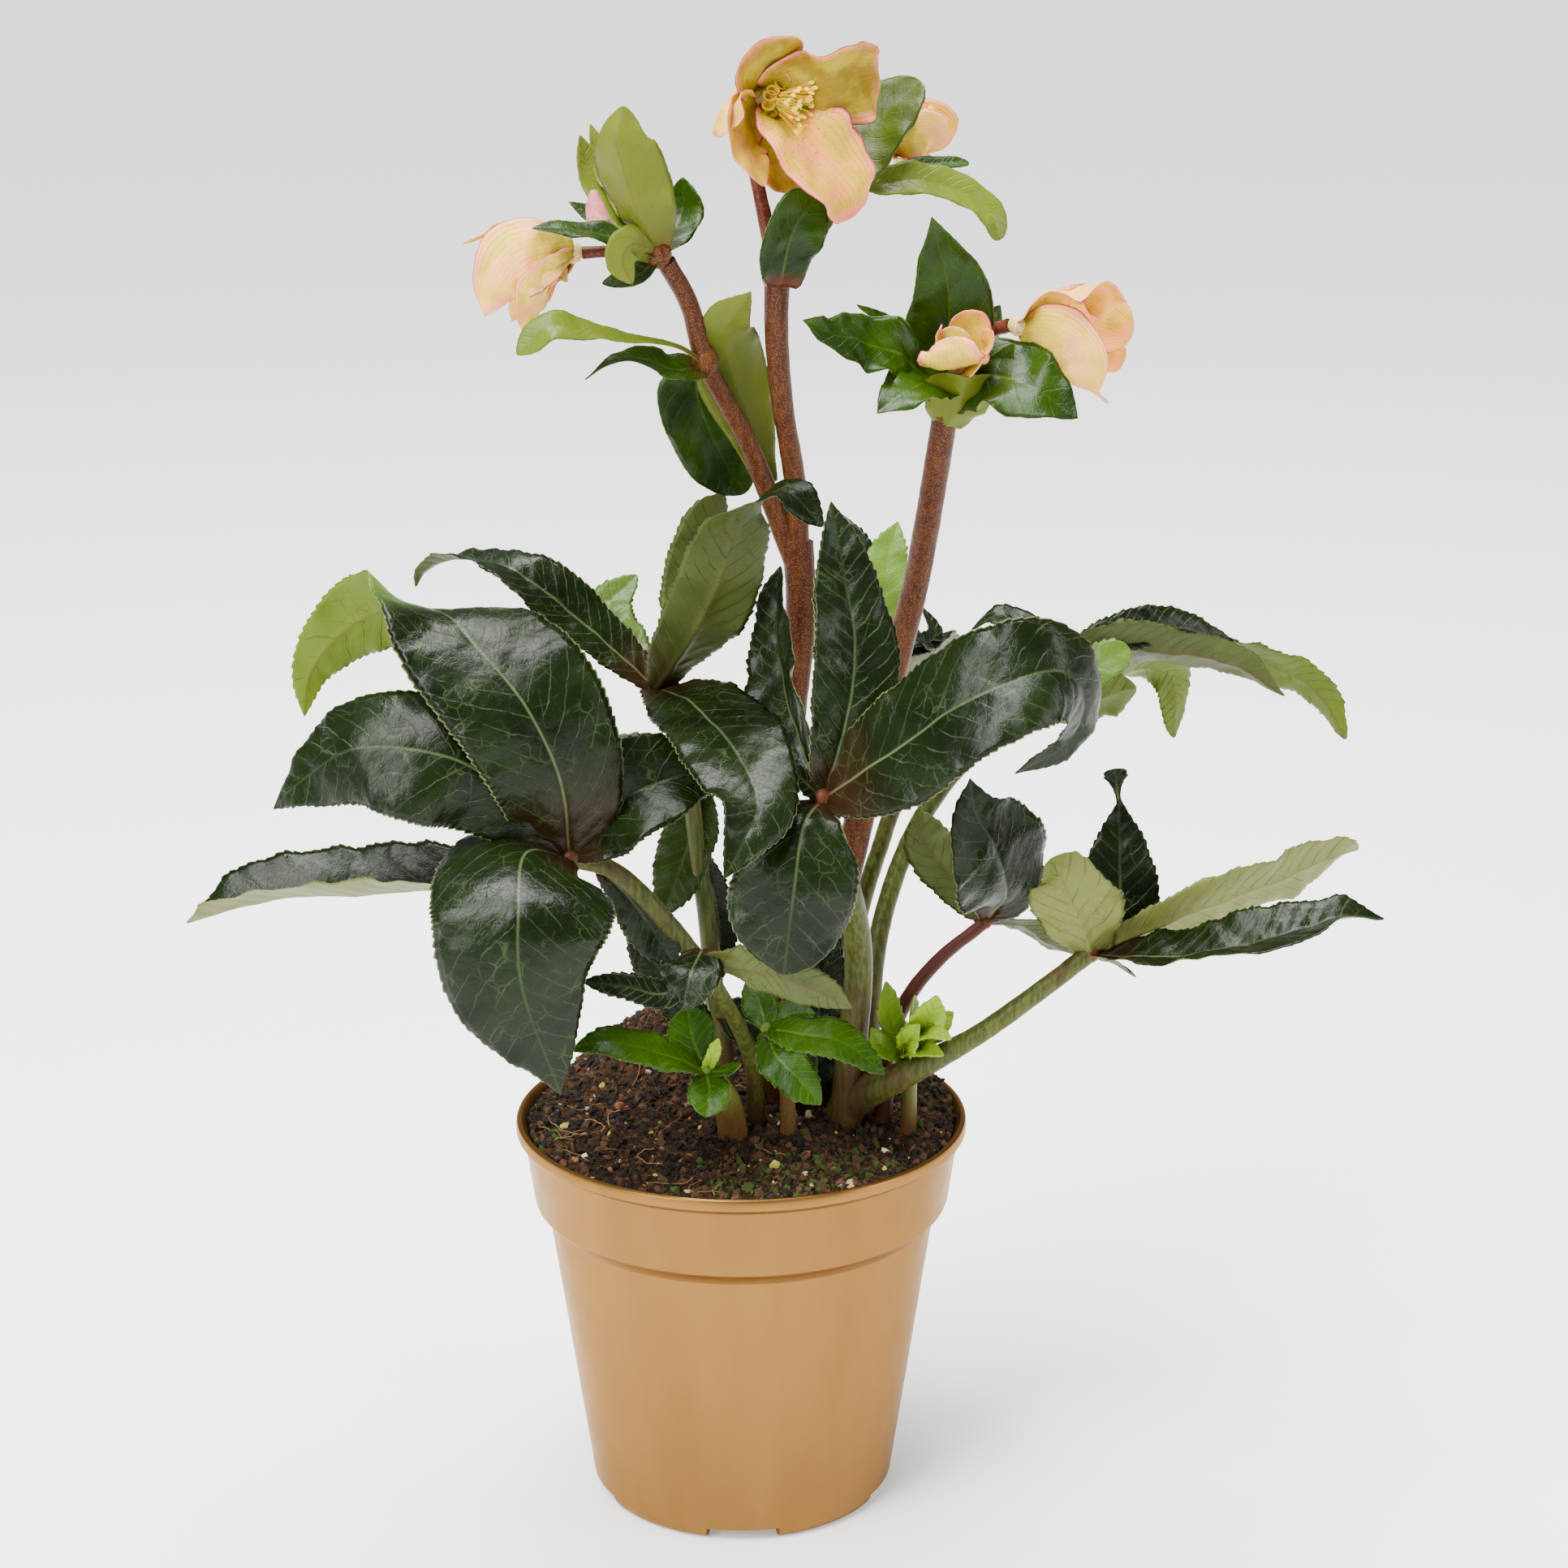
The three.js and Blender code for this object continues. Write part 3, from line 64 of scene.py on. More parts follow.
# Where the plant's parts run, in millimetres from the middle of the pot's underside, with +Z up and
# the viewer towards -Y. A leaf is its stalk, which ends at its hub, and its blades.
LEAVES = {
    "leaf_front_left": (stalk(((-6, -14, 122), (-6, -15, 150), (-8, -20, 180), (-20, -32, 205),
        (-38, -43, 229), (-53, -48, 236)), (4.2, 3.2, 2.8)), [
        blade(24, ((-55, -60, 265), (-65, -60, 288), (-79, -50, 303), (-91, -36, 311), (-104, -22, 310),
            (-118, -14, 305), (-130, -10, 295), (-137, -8, 284), (-139, -8, 271)), ((0.2, -0.95, 0.2),
            (0.2, -0.95, 0.25), (0.15, -0.9, 0.35), (0.1, -0.8, 0.6), (-0.1, -0.2, 0.95), (-0.3, 0.8, 0.5),
            (-0.2, 0.97, 0.1), (-0.2, 0.97, 0), (-0.2, 0.97, 0)), widest=0.36, blunt=1.4, fold=6,
            fresh_tip=0.9, fresh_from=0.57),
        blade(21, ((-67, -60, 257), (-86, -66, 273), (-114, -62, 276), (-133, -52, 264), (-145, -44, 251)),
            ((0, -0.8, 0.6), (0, -0.9, 0.45), (-0.5, -0.7, 0.5)), widest=0.5, blunt=2.1, fold=-8),
        blade(28, ((-65, -70, 245), (-66, -96, 235), (-65, -100, 211), (-55, -88, 173)), ((0.2, -0.2, 1),
            (0, -0.7, 0.7), (0, -1, 0.1)), widest=0.42, blunt=1.9, fold=-6),
        blade(20, ((-44, -47, 248), (-32, -46, 257), (-16, -42, 261), (-6, -38, 255)), ((0.1, -0.8, 0.6),
            (0.1, -0.8, 0.6)), widest=0.45, fold=30),
        blade(20, ((-80, -34, 224), (-111, -30, 219), (-150, -30, 217), (-177, -26, 208)), ((0, -0.2, 1),
            (0, -0.1, 1)), widest=0.55, fold=45, fresh=-0.6),
        blade(8, ((-34, -38, 218), (-21, -34, 196)), (0, -0.9, 0.3), start=(-44, -44, 231), widest=0.6),
        blade(8, ((-16, -20, 172), (-26, -24, 190), (-36, -30, 208)), (0.3, -0.9, -0.3), start=(-7, -17, 158),
            widest=0.55, foot=5, red=2, fold=20),
    ]),
    "leaf_back_left": (stalk(((-8, 0, 122), (-8, 0, 156), (-10, 1, 189), (-14, 3, 222), (-18, 3, 255),
        (-27, 0, 278)), (4, 3, 2.6)), [
        blade(11, ((-42, 4, 291), (-56, 6, 303), (-69, 8, 313), (-81, 14, 317), (-94, 22, 316),
            (-103, 26, 311), (-106, 28, 305)), ((0.5, -0.7, 0.4), (0.3, -0.7, 0.6), (0.1, -0.6, 0.75),
            (-0.3, 0.3, 0.8), (-0.6, 0.7, 0.1)), widest=0.42, blunt=1.5, fold=18),
        blade(9, ((-39, 24, 288), (-43, 40, 296), (-34, 50, 304)), ((0, -0.5, 0.8), (0, -0.8, 0.6)),
            widest=0.55, fresh=0.35),
        blade(18, ((-16, -24, 280), (-2, -60, 275), (5, -80, 264), (1, -92, 255), (-5, -98, 245)),
            ((0, -0.3, 1), (0, -0.6, 0.8), (0.3, -0.9, 0.4)), widest=0.48, blunt=1.9, foot=5),
        blade(15, ((-16, -14, 297), (-8, -20, 313), (-3, -22, 327), (2, -24, 340), (14, -26, 347),
            (26, -30, 337)), ((-0.3, 0.9, 0.2), (-0.3, 0.95, 0.1), (-0.2, 0.8, 0.5), (0, 0.1, 1),
            (0.1, -0.8, 0.6)), start=(-27, -2, 278), widest=0.5, blunt=1.5),
        blade(10, ((-18, 4, 221), (-26, 0, 200)), (-0.3, -0.9, 0.2), start=(-12, 8, 246), fresh=0.1),
        blade(6, ((-9, 6, 207), (-7, 7, 190), (-9, 6, 172)), (0.2, -0.9, 0.2), start=(-14, 3, 222),
            widest=0.5),
        blade(11, ((-17, 20, 297), (-13, 26, 314), (-10, 28, 327), (-5, 28, 336)), ((-0.2, 0.9, 0.3),
            (-0.2, 0.9, 0.3)), start=(-26, 3, 278), widest=0.6),
    ]),
    "leaf_centre": (stalk(((33, -13, 122), (36, -15, 158), (38, -22, 193), (34, -36, 222), (25, -62, 259)),
        (5.5, 4.6, 3.2)), [
        blade(13.9, ((32, -62, 283), (35, -56, 305), (32, -48, 325), (28, -40, 347)), ((0.3, -0.9, 0.2),
            (0.2, -0.95, 0.2)), widest=0.45, fold=14),
        blade(20, ((45, -76, 277), (63, -84, 293), (80, -86, 302), (95, -82, 304), (103, -76, 294),
            (98, -72, 279), (83, -70, 269)), ((-0.3, -0.8, 0.5), (-0.3, -0.75, 0.6), (-0.1, -0.7, 0.7),
            (0.5, -0.6, 0.6), (0.8, -0.6, 0), (0.5, -0.8, -0.4)), widest=0.38, blunt=1.6, fold=6),
        blade(20, ((19, -78, 255), (16, -86, 237), (13, -84, 210)), ((0, -0.3, 1), (0, -0.95, 0.3),
            (0, -1, 0)), widest=0.6, fold=-8),
        blade(14, ((18, -42, 273), (14, -24, 286), (12, -10, 304), (13, -4, 319)), ((-0.75, -0.6, 0.3),
            (-0.7, -0.7, 0.1)), start=(25, -60, 259), widest=0.5, fold=32),
        blade(4, ((18, -66, 267), (11, -66, 271)), (0, -0.7, 0.7)),
        blade(11, ((25, -7, 150), (26, -6, 174), (30, -2, 200)), (-0.1, -0.95, 0), start=(26, -5, 128),
            widest=0.4, blunt=1.2, foot=7, red=1.8, fold=24),
    ]),
    "leaf_back": (stalk(((36, 12, 122), (36, 13, 158), (39, 22, 190), (49, 34, 220), (58, 46, 245),
        (53, 58, 275)), (4, 3, 2.4)), [
        blade(9, ((49, 60, 291), (50, 66, 305), (54, 74, 317)), (-0.1, -0.9, 0.2), widest=0.5, blunt=2,
            fresh=0.75, tooth=1.6),
        blade(9, ((44, 74, 295), (38, 84, 307), (35, 92, 316)), (-0.2, -0.7, 0.6)),
        blade(5, ((59, 64, 279), (67, 72, 273)), (0, -0.6, 0.8)),
        blade(4, ((67, 76, 276), (63, 84, 285)), (0.6, -0.6, 0.6)),
        blade(13.9, ((62, 90, 272), (64, 118, 262), (60, 138, 246)), (0, 0.4, 0.9)),
        blade(13.5, ((36, 80, 268), (18, 100, 262), (8, 118, 248)), (-0.2, 0.4, 0.9)),
    ]),
    "leaf_far_right": (stalk(((43, 0, 122), (43, 1, 171), (48, 10, 200), (60, 24, 226), (78, 30, 248),
        (100, 34, 262)), (4, 3.2, 2.8)), [
        blade(11.5, ((116, 44, 278), (142, 50, 277), (166, 50, 273), (184, 48, 262)), (0, 0.8, 0.6),
            widest=0.45, fold=20, red=1.1),
        blade(10, ((127, 62, 278), (156, 72, 276), (182, 76, 266), (200, 76, 256), (210, 72, 240)),
            ((0, -0.5, 0.85), (0, -0.5, 0.85), (0.3, 0.7, 0.5), (0.5, 0.7, 0.2)), widest=0.55, blunt=1.3,
            fresh=0.1, fresh_tip=0.5, fresh_from=0.6),
        blade(8, ((127, 62, 266), (148, 74, 263), (151, 78, 239)), ((0, -0.3, 1), (-0.2, 0.6, 0.8),
            (-0.5, 0.8, 0.3)), widest=0.6, fresh=0.7),
        blade(12, ((105, 30, 261), (118, 28, 267), (131, 26, 271)), (0, 0.8, 0.5), widest=0.6, fresh=0.45),
        blade(7, ((109, 22, 274), (119, 20, 281), (128, 22, 285)), (0, -0.8, 0.5), widest=0.7, fresh=0.55),
        blade(8, ((119, 46, 280), (145, 58, 284), (172, 68, 273)), (0, -0.75, 0.65), widest=0.5, blunt=1.6,
            fold=8),
        blade(8, ((103, 50, 277), (96, 60, 284), (87, 64, 286), (79, 66, 281)), ((0, -0.8, 0.5), (0, -0.2, 1),
            (-0.5, -0.3, 0.8))),
    ]),
    "leaf_middle_right": (stalk(((47, -10, 122), (48, -10, 155), (54, -12, 175), (65, -10, 189),
        (80, -8, 201)), (3.4, 2.6, 2), flush=(0.9, 1, 1)), [
        blade(20, ((85, -20, 215), (81, -30, 232), (74, -36, 246), (72, -36, 258)), ((0.3, -0.8, 0.5),
            (0.3, -0.85, 0.4)), widest=0.5, blunt=2.4, fold=6),
        blade(11, ((72, -2, 212), (62, 4, 223), (60, 8, 234)), (0.3, 0.9, 0.1), widest=0.55),
        blade(7, ((93, 0, 197), (104, 6, 188), (113, 10, 183)), (0, 0.5, 0.85), widest=0.5),
    ]),
    "leaf_low_right": (stalk(((31, -10, 122), (36, -13, 140), (52, -25, 154), (75, -32, 170), (95, -32, 185),
        (112, -30, 198)), (7.5, 6, 4.4, 3.3, 3, 3)), [
        blade(15, ((107, -42, 214), (101, -48, 227), (97, -44, 234)), ((0.1, 0.95, 0.1), (0.2, 0.8, 0.5)),
            start=(112, -31, 198), widest=0.6, foot=6, blunt=1.4, fresh=-0.7),
        blade(13, ((121, -22, 211), (122, -16, 227), (122, -13, 236), (122, -13, 245)), (0, -0.95, 0.2),
            start=(112, -29, 197), widest=0.42, blunt=2.2),
        blade(4, ((121, -13, 247), (120, -12, 254)), (0, -0.95, 0.2), start=(122, -13, 241), widest=0.88,
            blunt=4, foot=1),
        blade(13, ((139, -34, 211), (167, -30, 220), (189, -24, 228), (199, -16, 228)), (0, 0.75, 0.5),
            widest=0.55, fresh=-0.75),
        blade(14, ((137, -46, 202), (164, -54, 210), (187, -52, 217), (202, -48, 215)), (0, -0.25, 1),
            start=(112, -30, 197), widest=0.5, fold=28),
        blade(4, ((122, -12, 188), (130, -6, 181)), (0, -0.3, 0.9), start=(112, -30, 197)),
        blade(5, ((127, -4, 200), (142, 8, 202)), (0, 0.5, 0.8)),
    ]),
    "leaf_low_front": (stalk(((5, -20, 122), (5, -21, 142), (3, -31, 164), (-4, -47, 186), (-12, -62, 206)),
        (3.4, 2.8, 2.2)), [
        blade(9, ((2, -72, 208), (18, -78, 205), (34, -78, 197)), (0, 0.9, 0.3), red=0.8),
        blade(10, ((-15, -70, 206), (-18, -74, 195)), (-0.3, -0.9, 0.3), start=(-12, -60, 210)),
        blade(9, ((6, -20, 170), (22, -20, 167)), (0, -0.9, 0.4), start=(-8, -20, 176)),
        blade(5, ((-23, -72, 200), (-36, -74, 203), (-49, -72, 204)), (0, -0.8, 0.6)),
    ]),
}
SHOOTS = {
    "shoot_left": (stalk(((-3, -27, 122), (-3, -28, 138), (-6, -38, 154), (-11, -54, 167)), (5.2, 4.6, 2)), [
        blade(7, ((-21, -60, 174), (-32, -64, 179), (-42, -66, 182), (-53, -66, 179)), ((0, -0.5, 0.9),
            (0, -0.6, 0.8)), fold=10),
        blade(8, ((-15, -50, 176), (-17, -46, 186)), (0, -0.95, 0.3), widest=0.6),
        blade(7, ((-10, -66, 165), (-11, -72, 159)), (0, -0.6, 0.8), widest=0.6),
        blade(2.6, ((-5, -58, 169), (0, -60, 172)), (0, -0.6, 0.8)),
        blade(2.4, ((-9, -55, 173), (-7, -53, 178)), (0.2, -0.9, 0.3), fresh=1),
    ]),
    "shoot_middle": (stalk(((15, -26, 122), (15, -27, 146), (13, -32, 162), (8, -42, 177)), (3, 2.4, 1.8)), [
        blade(7, ((18, -52, 179), (32, -58, 178), (45, -62, 169)), (0, -0.7, 0.7)),
        blade(7.5, ((11, -52, 172), (18, -58, 166), (25, -60, 158)), (-0.3, -0.8, 0.5)),
        blade(6, ((6, -32, 182), (2, -24, 187)), (0, -0.8, 0.5)),
        blade(4.5, ((16, -34, 179), (24, -28, 177)), (0, -0.8, 0.5)),
    ]),
    "shoot_right": (stalk(((55, -17, 122), (55, -17, 142), (55, -18, 151), (53, -21, 160)), (2.8, 2.6, 2.2)),
        [
        blade(4.5, ((49, -22, 171), (47, -20, 185)), (0.3, -0.9, 0.2), fresh=0.3),
        blade(4.5, ((55, -26, 172), (56, -28, 183)), (0.8, -0.5, 0.2), fresh=0.8),
        blade(7, ((59, -29, 173), (63, -31, 184)), (0.3, -0.9, 0.2), start=(53, -21, 161), fresh=1),
        blade(5, ((60, -34, 172), (67, -42, 173)), (0, -0.4, 0.9), start=(53, -21, 162), fresh=1),
        blade(5, ((62, -24, 170), (69, -22, 175)), (0.2, -0.8, 0.5), start=(53, -21, 161), fresh=0.9),
        blade(4, ((58, -32, 166), (65, -38, 166)), (0, -0.6, 0.8), fresh=1),
        blade(4.5, ((54, -31, 168), (57, -36, 176)), (-0.5, -0.8, 0.3), fresh=1),
        blade(4, ((46, -27, 165), (42, -28, 172)), (0, -0.8, 0.6), fresh=0.2),
    ]),
}
STEMS = {
    "stem_left_and_centre": [
        stalk(((12, 6, 122), (12, 6, 152), (12, 10, 191), (13, 14, 232), (17, 16, 268), (20, 18, 297),
            (19, 18, 322)), (8, 6.6, 5.4, 5, 5)),
        stalk(((19, 18, 312), (18, 14, 341), (14, 6, 368), (12, 0, 390), (12, -4, 409)), (4, 3.3, 4)),
        stalk(((19, 18, 312), (10, 14, 337), (3, 8, 356), (-5, 2, 372), (-11, -4, 385), (-15, -8, 402),
            (-22, -13, 416)), (3.6, 3, 3)),
    ],
    "stem_right": [
        stalk(((25, 6, 122), (25, 6, 150), (29, 10, 184), (40, 16, 232), (50, 14, 279), (56, 6, 308),
            (59, -8, 332), (61, -20, 352), (63, -29, 371)), (7.5, 5.6, 4.6, 4.2, 4)),
    ],
}
WHORLS = {
    "stem_leaves_left": dict(knuckle=((-10.5, -4, 384), 5.2), hub=(-11, -6, 384), pedicels=[], blades=[
        blade(5.5, ((-18, -13, 390), (-26, -20, 393), (-36, -26, 395), (-47, -31, 398), (-57, -34, 399),
            (-67, -34, 391)), (0, -0.7, 0.7), widest=0.82, blunt=4, foot=1.2, crumple=0.9, fresh=0.25),
        blade(6.5, ((-20, -12, 383), (-27, -16, 386), (-37, -22, 388), (-47, -26, 382)), ((0, -0.7, 0.7),
            (0.2, -0.5, 0.8), (0.3, 0.2, 0.9)), start=(-11, -5, 382), widest=0.28, blunt=2.4),
        blade(12, ((4, 12, 361), (-2, 5, 380), (-4, -6, 394), (4, -12, 407)), ((-0.2, 0.95, 0.1),
            (-0.25, 0.95, 0)), start=(9, 17, 341), widest=0.56, blunt=2.3, fold=16, red=0, crumple=0.3),
        blade(14, ((-13, 15, 370), (-7, 23, 352), (2, 27, 336)), (0, -0.95, 0.1), start=(-12, 1, 383),
            widest=0.5, blunt=1.2),
    ]),
    "bracts_left": dict(knuckle=((-24, -14, 418.5), 4.6), hub=(-24, -14, 419), pedicels=[
        stalk(((-24, -14, 419), (-37, -14, 419.5), (-47.5, -14, 419)), (2, 1.6, 2)),
        stalk(((-24, -14, 419), (-33, -12, 419), (-39, -9, 421), (-42, -8, 426)), (1.5, 1.2)),
    ], blades=[
        blade(14.5, ((-29, -24, 430), (-33, -27, 442), (-36, -27, 454), (-34, -24, 464)), ((0.3, 0.92, 0.1),
            (0.35, 0.92, 0)), foot=4, fold=38, widest=0.55, blunt=1.5),
        blade(6, ((-32, -24, 423), (-35, -26, 418), (-32, -26, 411)), (-0.3, 0.9, 0.1)),
        blade(7, ((-34, 4, 427), (-45, 12, 440), (-49, 14, 452)), (0.5, -0.8, 0.2), fresh=0.3),
        blade(6, ((-35, 8, 432), (-42, 16, 444), (-46, 19, 455)), (0.5, -0.8, 0.2), fresh=0.4),
        blade(8, ((-20, -4, 424), (-17, 2, 431), (-17, 4, 440)), (-0.3, -0.9, 0.3)),
        blade(6, ((-31, -12, 412), (-42, -8, 409)), (0, -0.5, 0.8), start=(-24, -14, 418)),
        blade(5, ((-41, -18, 425), (-51, -22, 427), (-62, -26, 428)), (0, -0.5, 0.8)),
        blade(5, ((-38, 12, 423), (-53, 18, 431)), (0, -0.7, 0.7)),
    ]),
    "bracts_centre": dict(knuckle=((12, -5, 411.5), 5), hub=(12, -5, 412), pedicels=[
        stalk(((12, -5, 412), (9, -4, 425), (6, -1, 439), (4, 2, 450), (6, -1, 462)), (2.6, 2.1, 2.4)),
        stalk(((12, -5, 412), (20, 10, 425), (32, 28, 437), (44, 37, 446)), (2.2, 1.8, 2)),
    ], blades=[
        blade(10, ((15, -14, 419), (18, -16, 428), (24, -14, 436)), (0.2, -0.9, -0.2), start=(13, -8, 408),
            widest=0.66, blunt=1, foot=5, fold=14, red=1.4),
        blade(13, ((23, 8, 430), (39, 15, 450), (57, 18, 468)), (-0.3, -0.8, 0.5), widest=0.62, blunt=1.3,
            fresh=0.1, red=1.2),
        blade(7, ((19, 0, 429), (30, 6, 440), (43, 11, 437), (57, 13, 438), (70, 15, 434), (79, 15, 427),
            (82, 14, 419)), ((0, -0.6, 0.8), (0, -0.6, 0.8), (0.6, -0.6, 0.4)), widest=0.76, foot=1.6,
            fresh=0.3, pucker=0.02),
        blade(3.5, ((19, 4, 429), (32, 14, 438), (46, 18, 439), (59, 22, 442), (73, 25, 442)), (0, -0.6, 0.8),
            widest=0.75, foot=1.6),
        blade(6, ((17, 12, 424), (22, 22, 432)), (0, -0.8, 0.4)),
    ]),
    "bracts_right": dict(knuckle=((63, -30, 374), 5.2), hub=(64, -30, 377), pedicels=[
        stalk(((64, -30, 377), (70, -25, 389), (76, -26, 396), (82, -30, 399)), (2.4, 2, 2.2)),
        stalk(((64, -30, 376), (65, -34, 381), (66, -37, 386)), (2.6, 2.4)),
    ], blades=[
        blade(15.5, ((64, -24, 392), (64, -25, 407), (61, -28, 421), (58, -32, 432)), (0, -1, 0.1),
            widest=0.34, blunt=1.7, fold=24, foot=7),
        blade(11, ((50, -36, 390), (38, -42, 395), (28, -48, 399), (19, -52, 404)), (0, -0.7, 0.7),
            widest=0.5, blunt=2.1, frill=1.3, crumple=1, foot=5),
        blade(10, ((56, -42, 383), (48, -52, 381), (41, -58, 377)), (0, -0.5, 0.8), widest=0.46, blunt=2,
            foot=6, frill=1.2),
        blade(14, ((76, -40, 385), (88, -51, 383), (101, -56, 375)), (0, -0.7, 0.6), widest=0.5, blunt=2.1,
            foot=6, frill=1.2, crumple=1),
        blade(12, ((65, -36, 373), (67, -41, 379), (68, -45, 386)), (0, 0.9, 0.4), start=(63, -31, 368),
            widest=0.66, blunt=1, foot=5.5, fold=22, red=0),
        blade(3, ((48, -20, 396), (36, -20, 404)), (0, -0.7, 0.7)),
        blade(6, ((74, -16, 392), (81, -8, 402)), (0.3, -0.9, 0.2)),
        blade(4, ((77, -35, 386), (83, -40, 395)), (-0.3, -0.9, 0.2)),
    ]),
}
BLOOMS = {
    "bloom_left": dict(at=(-50.5, -14, 419), looks=(-0.8, -0.1, -0.6), sepals=[
        blade(8, ((-50, -14, 420), (-62, -8, 425), (-74, -7, 425), (-85, -8, 421)), (-0.3, -0.3, -0.9),
            widest=0.45, blunt=2.3, fresh=0.1),
        blade(12, ((-50, -16, 421), (-63, -26, 420), (-72, -28, 412), (-77, -26, 401)), ((-0.5, 0.6, -0.3),
            (-0.2, 0.95, -0.2)), widest=0.48, blunt=2.4, curl=-1),
        blade(8, ((-50, -16, 419), (-58, -23, 412), (-63, -25, 404), (-65, -23, 395)), (-0.4, 0.6, 0.6),
            widest=0.45, blunt=2.3, fresh=0.2),
        blade(9, ((-50, -12, 420), (-64, -2, 419), (-76, 0, 413), (-80, -4, 406)), (-0.2, -0.95, -0.1),
            widest=0.45, blunt=2.1),
        blade(8, ((-50, -12, 419), (-60, -4, 410), (-67, -4, 402), (-70, -8, 397)), (-0.3, -0.8, 0.5),
            widest=0.45, blunt=2.1, fresh=0.3),
    ]),
    "bloom_centre": dict(at=(7.5, -3.5, 465), looks=(0.75, -0.65, -0.15), spread=1.3, sepals=[
        blade(10, ((7, -3, 467), (7, -9, 472), (10, -12, 476), (15, -12, 479), (20, -10, 480)),
            ((0.6, -0.7, -0.3), (0.3, -0.8, -0.6)), widest=0.45, blunt=1.2, fresh=1),
        blade(14.5, ((8, -3, 466), (16, -8, 468), (25, -10, 468), (34, -7, 470), (43, -1, 473)),
            ((0.2, -0.9, -0.3), (-0.1, -0.9, -0.35)), widest=0.62, blunt=1.1, fresh=1, frill=1.8, crumple=2.4,
            fold=10),
        blade(14.5, ((9, -4, 463), (15, -11, 456), (23, -13, 448), (31, -10, 438), (36, -5, 429)),
            ((0.4, -0.8, 0.5), (0.2, -0.9, 0.4)), widest=0.55, blunt=1.35, frill=1.6, crumple=2.4, fresh=0.1,
            red=1.5, fold=16),
        blade(10, ((7, -4, 465), (2, -11, 459), (2, -19, 451), (8, -24, 440)), ((0.75, -0.5, 0.2),
            (0.75, -0.6, 0.2)), widest=0.5, blunt=1.5, fresh=0.75, crumple=0.9),
        blade(9, ((6, -4, 468), (0, -8, 466), (-3, -13, 462), (-4, -19, 455)), (0.8, 0.55, -0.1), fresh=0.4,
            red=0.8),
        blade(11, ((8, -4, 462), (9, -7, 454), (14, -9, 446), (19, -10, 438)), (0.1, -0.9, 0.4), fresh=0.9,
            frill=1.3),
    ]),
    "bloom_back": dict(at=(47, 37, 447), looks=(0.9, 0, 0.3), sepals=[
        blade(8, ((47, 36, 447), (53, 27, 450), (60, 26, 451), (66, 29, 449)), (0.2, 0.95, 0), fresh=0.3),
        blade(8, ((47, 36, 446), (50, 34, 442), (56, 33, 441), (62, 33, 443)), (0.2, 0.2, 0.95), fresh=0.7),
        blade(10, ((48, 38, 447), (56, 44, 450), (63, 46, 450), (68, 46, 446)), (0.3, -0.9, 0), red=0.6),
        blade(8, ((47, 37, 448), (49, 38, 452), (55, 38, 455), (62, 38, 455)), (0.3, -0.2, -0.9)),
        blade(9, ((48, 39, 446), (55, 48, 445), (62, 50, 445)), (0.2, -0.8, 0.5), red=0.6),
    ]),
    "bloom_right": dict(at=(85, -31, 399), looks=(0.93, 0.1, -0.35), sepals=[
        blade(10.5, ((85, -32, 398), (94, -41, 397), (102, -45, 391), (108, -45, 381)), ((0.5, 0.8, 0),
            (0.2, 0.95, -0.1)), widest=0.5, blunt=1.8, fresh=0.35, curl=-0.8),
        blade(11, ((85, -32, 400), (93, -33, 407), (105, -33, 410), (117, -31, 406)), (0.2, -0.35, -0.9),
            blunt=1.3, frill=1.2),
        blade(11, ((86, -29, 398), (100, -18, 399), (112, -14, 397), (121, -16, 393)), (0.2, -0.95, 0),
            red=0.7, blunt=1.3),
        blade(9, ((85, -31, 398), (96, -31, 387), (106, -29, 379), (113, -29, 375)), (0.5, 0.1, 0.85),
            fresh=0.4, blunt=1.6),
        blade(10, ((86, -29, 398), (102, -17, 391), (113, -13, 387), (118, -14, 383)), (0.2, -0.85, 0.5),
            red=0.7),
    ]),
    "bloom_opening": dict(at=(66, -37.5, 388), sepals=[
        blade(11, ((66, -38, 387), (64, -46, 389), (63, -49, 394), (62, -48, 398)), ((0, 0.2, 1),
            (0.1, 0.9, 0.2)), widest=0.5, blunt=1.1, fresh=0.4),
        blade(4, ((66, -37, 388), (61, -42, 391), (59, -43, 396), (61, -41, 401)), (0.9, 0.1, 0.3), fresh=0.3,
            widest=0.4, blunt=1.2),
        blade(8, ((67, -36, 388), (69, -32, 393), (69, -32, 398), (66, -35, 403)), (-0.1, -0.9, 0.2),
            red=1.3),
        blade(7, ((67, -37, 387), (73, -42, 390), (76, -42, 395), (73, -40, 399)), (-0.9, 0.1, 0.3)),
        blade(6, ((66, -37, 387), (65, -40, 392), (65, -41, 396), (66, -40, 400)), (0, 0.9, 0.3), fresh=0.6,
            red=1.5),
    ]),
}
BUD = stalk(((-41, -8, 423), (-43, -8, 429), (-44, -7, 434), (-44, -6, 437)), (2.2, 3.8, 3, 1))
# What forms a blade where its own entry says nothing: where along it it is widest, how blunt its ends are and
# half its width at its foot; how many degrees its halves fold up, how it arches across and how its edges curl
# and wave; its edges' small frill, its broad crumple and the pucker between its veins; the groove over its
# midrib and the keel under it; how its columns crowd to the midrib; and for its finish how fresh it is, from
# 0 to 1 or bleached below 0, how much fresher towards its tip and from where, and how red its foot is.
PLAIN = dict(widest=0.5, blunt=1.7, foot=2.2, fold=10, arch=0.006, curl=0, wave=0.8, ripples=2.5, frill=0.5,
             crumple=0.6, pucker=0.3, groove=0.35, keel=0.7, spread=1.3, fresh=0, fresh_tip=0, fresh_from=0.3,
             red=0)
OLD_LEAF = dict(PLAIN, wave=1.2, pucker=0.32, red=0.4)
YOUNG_LEAF = dict(PLAIN, pucker=0.25, red=0.1)
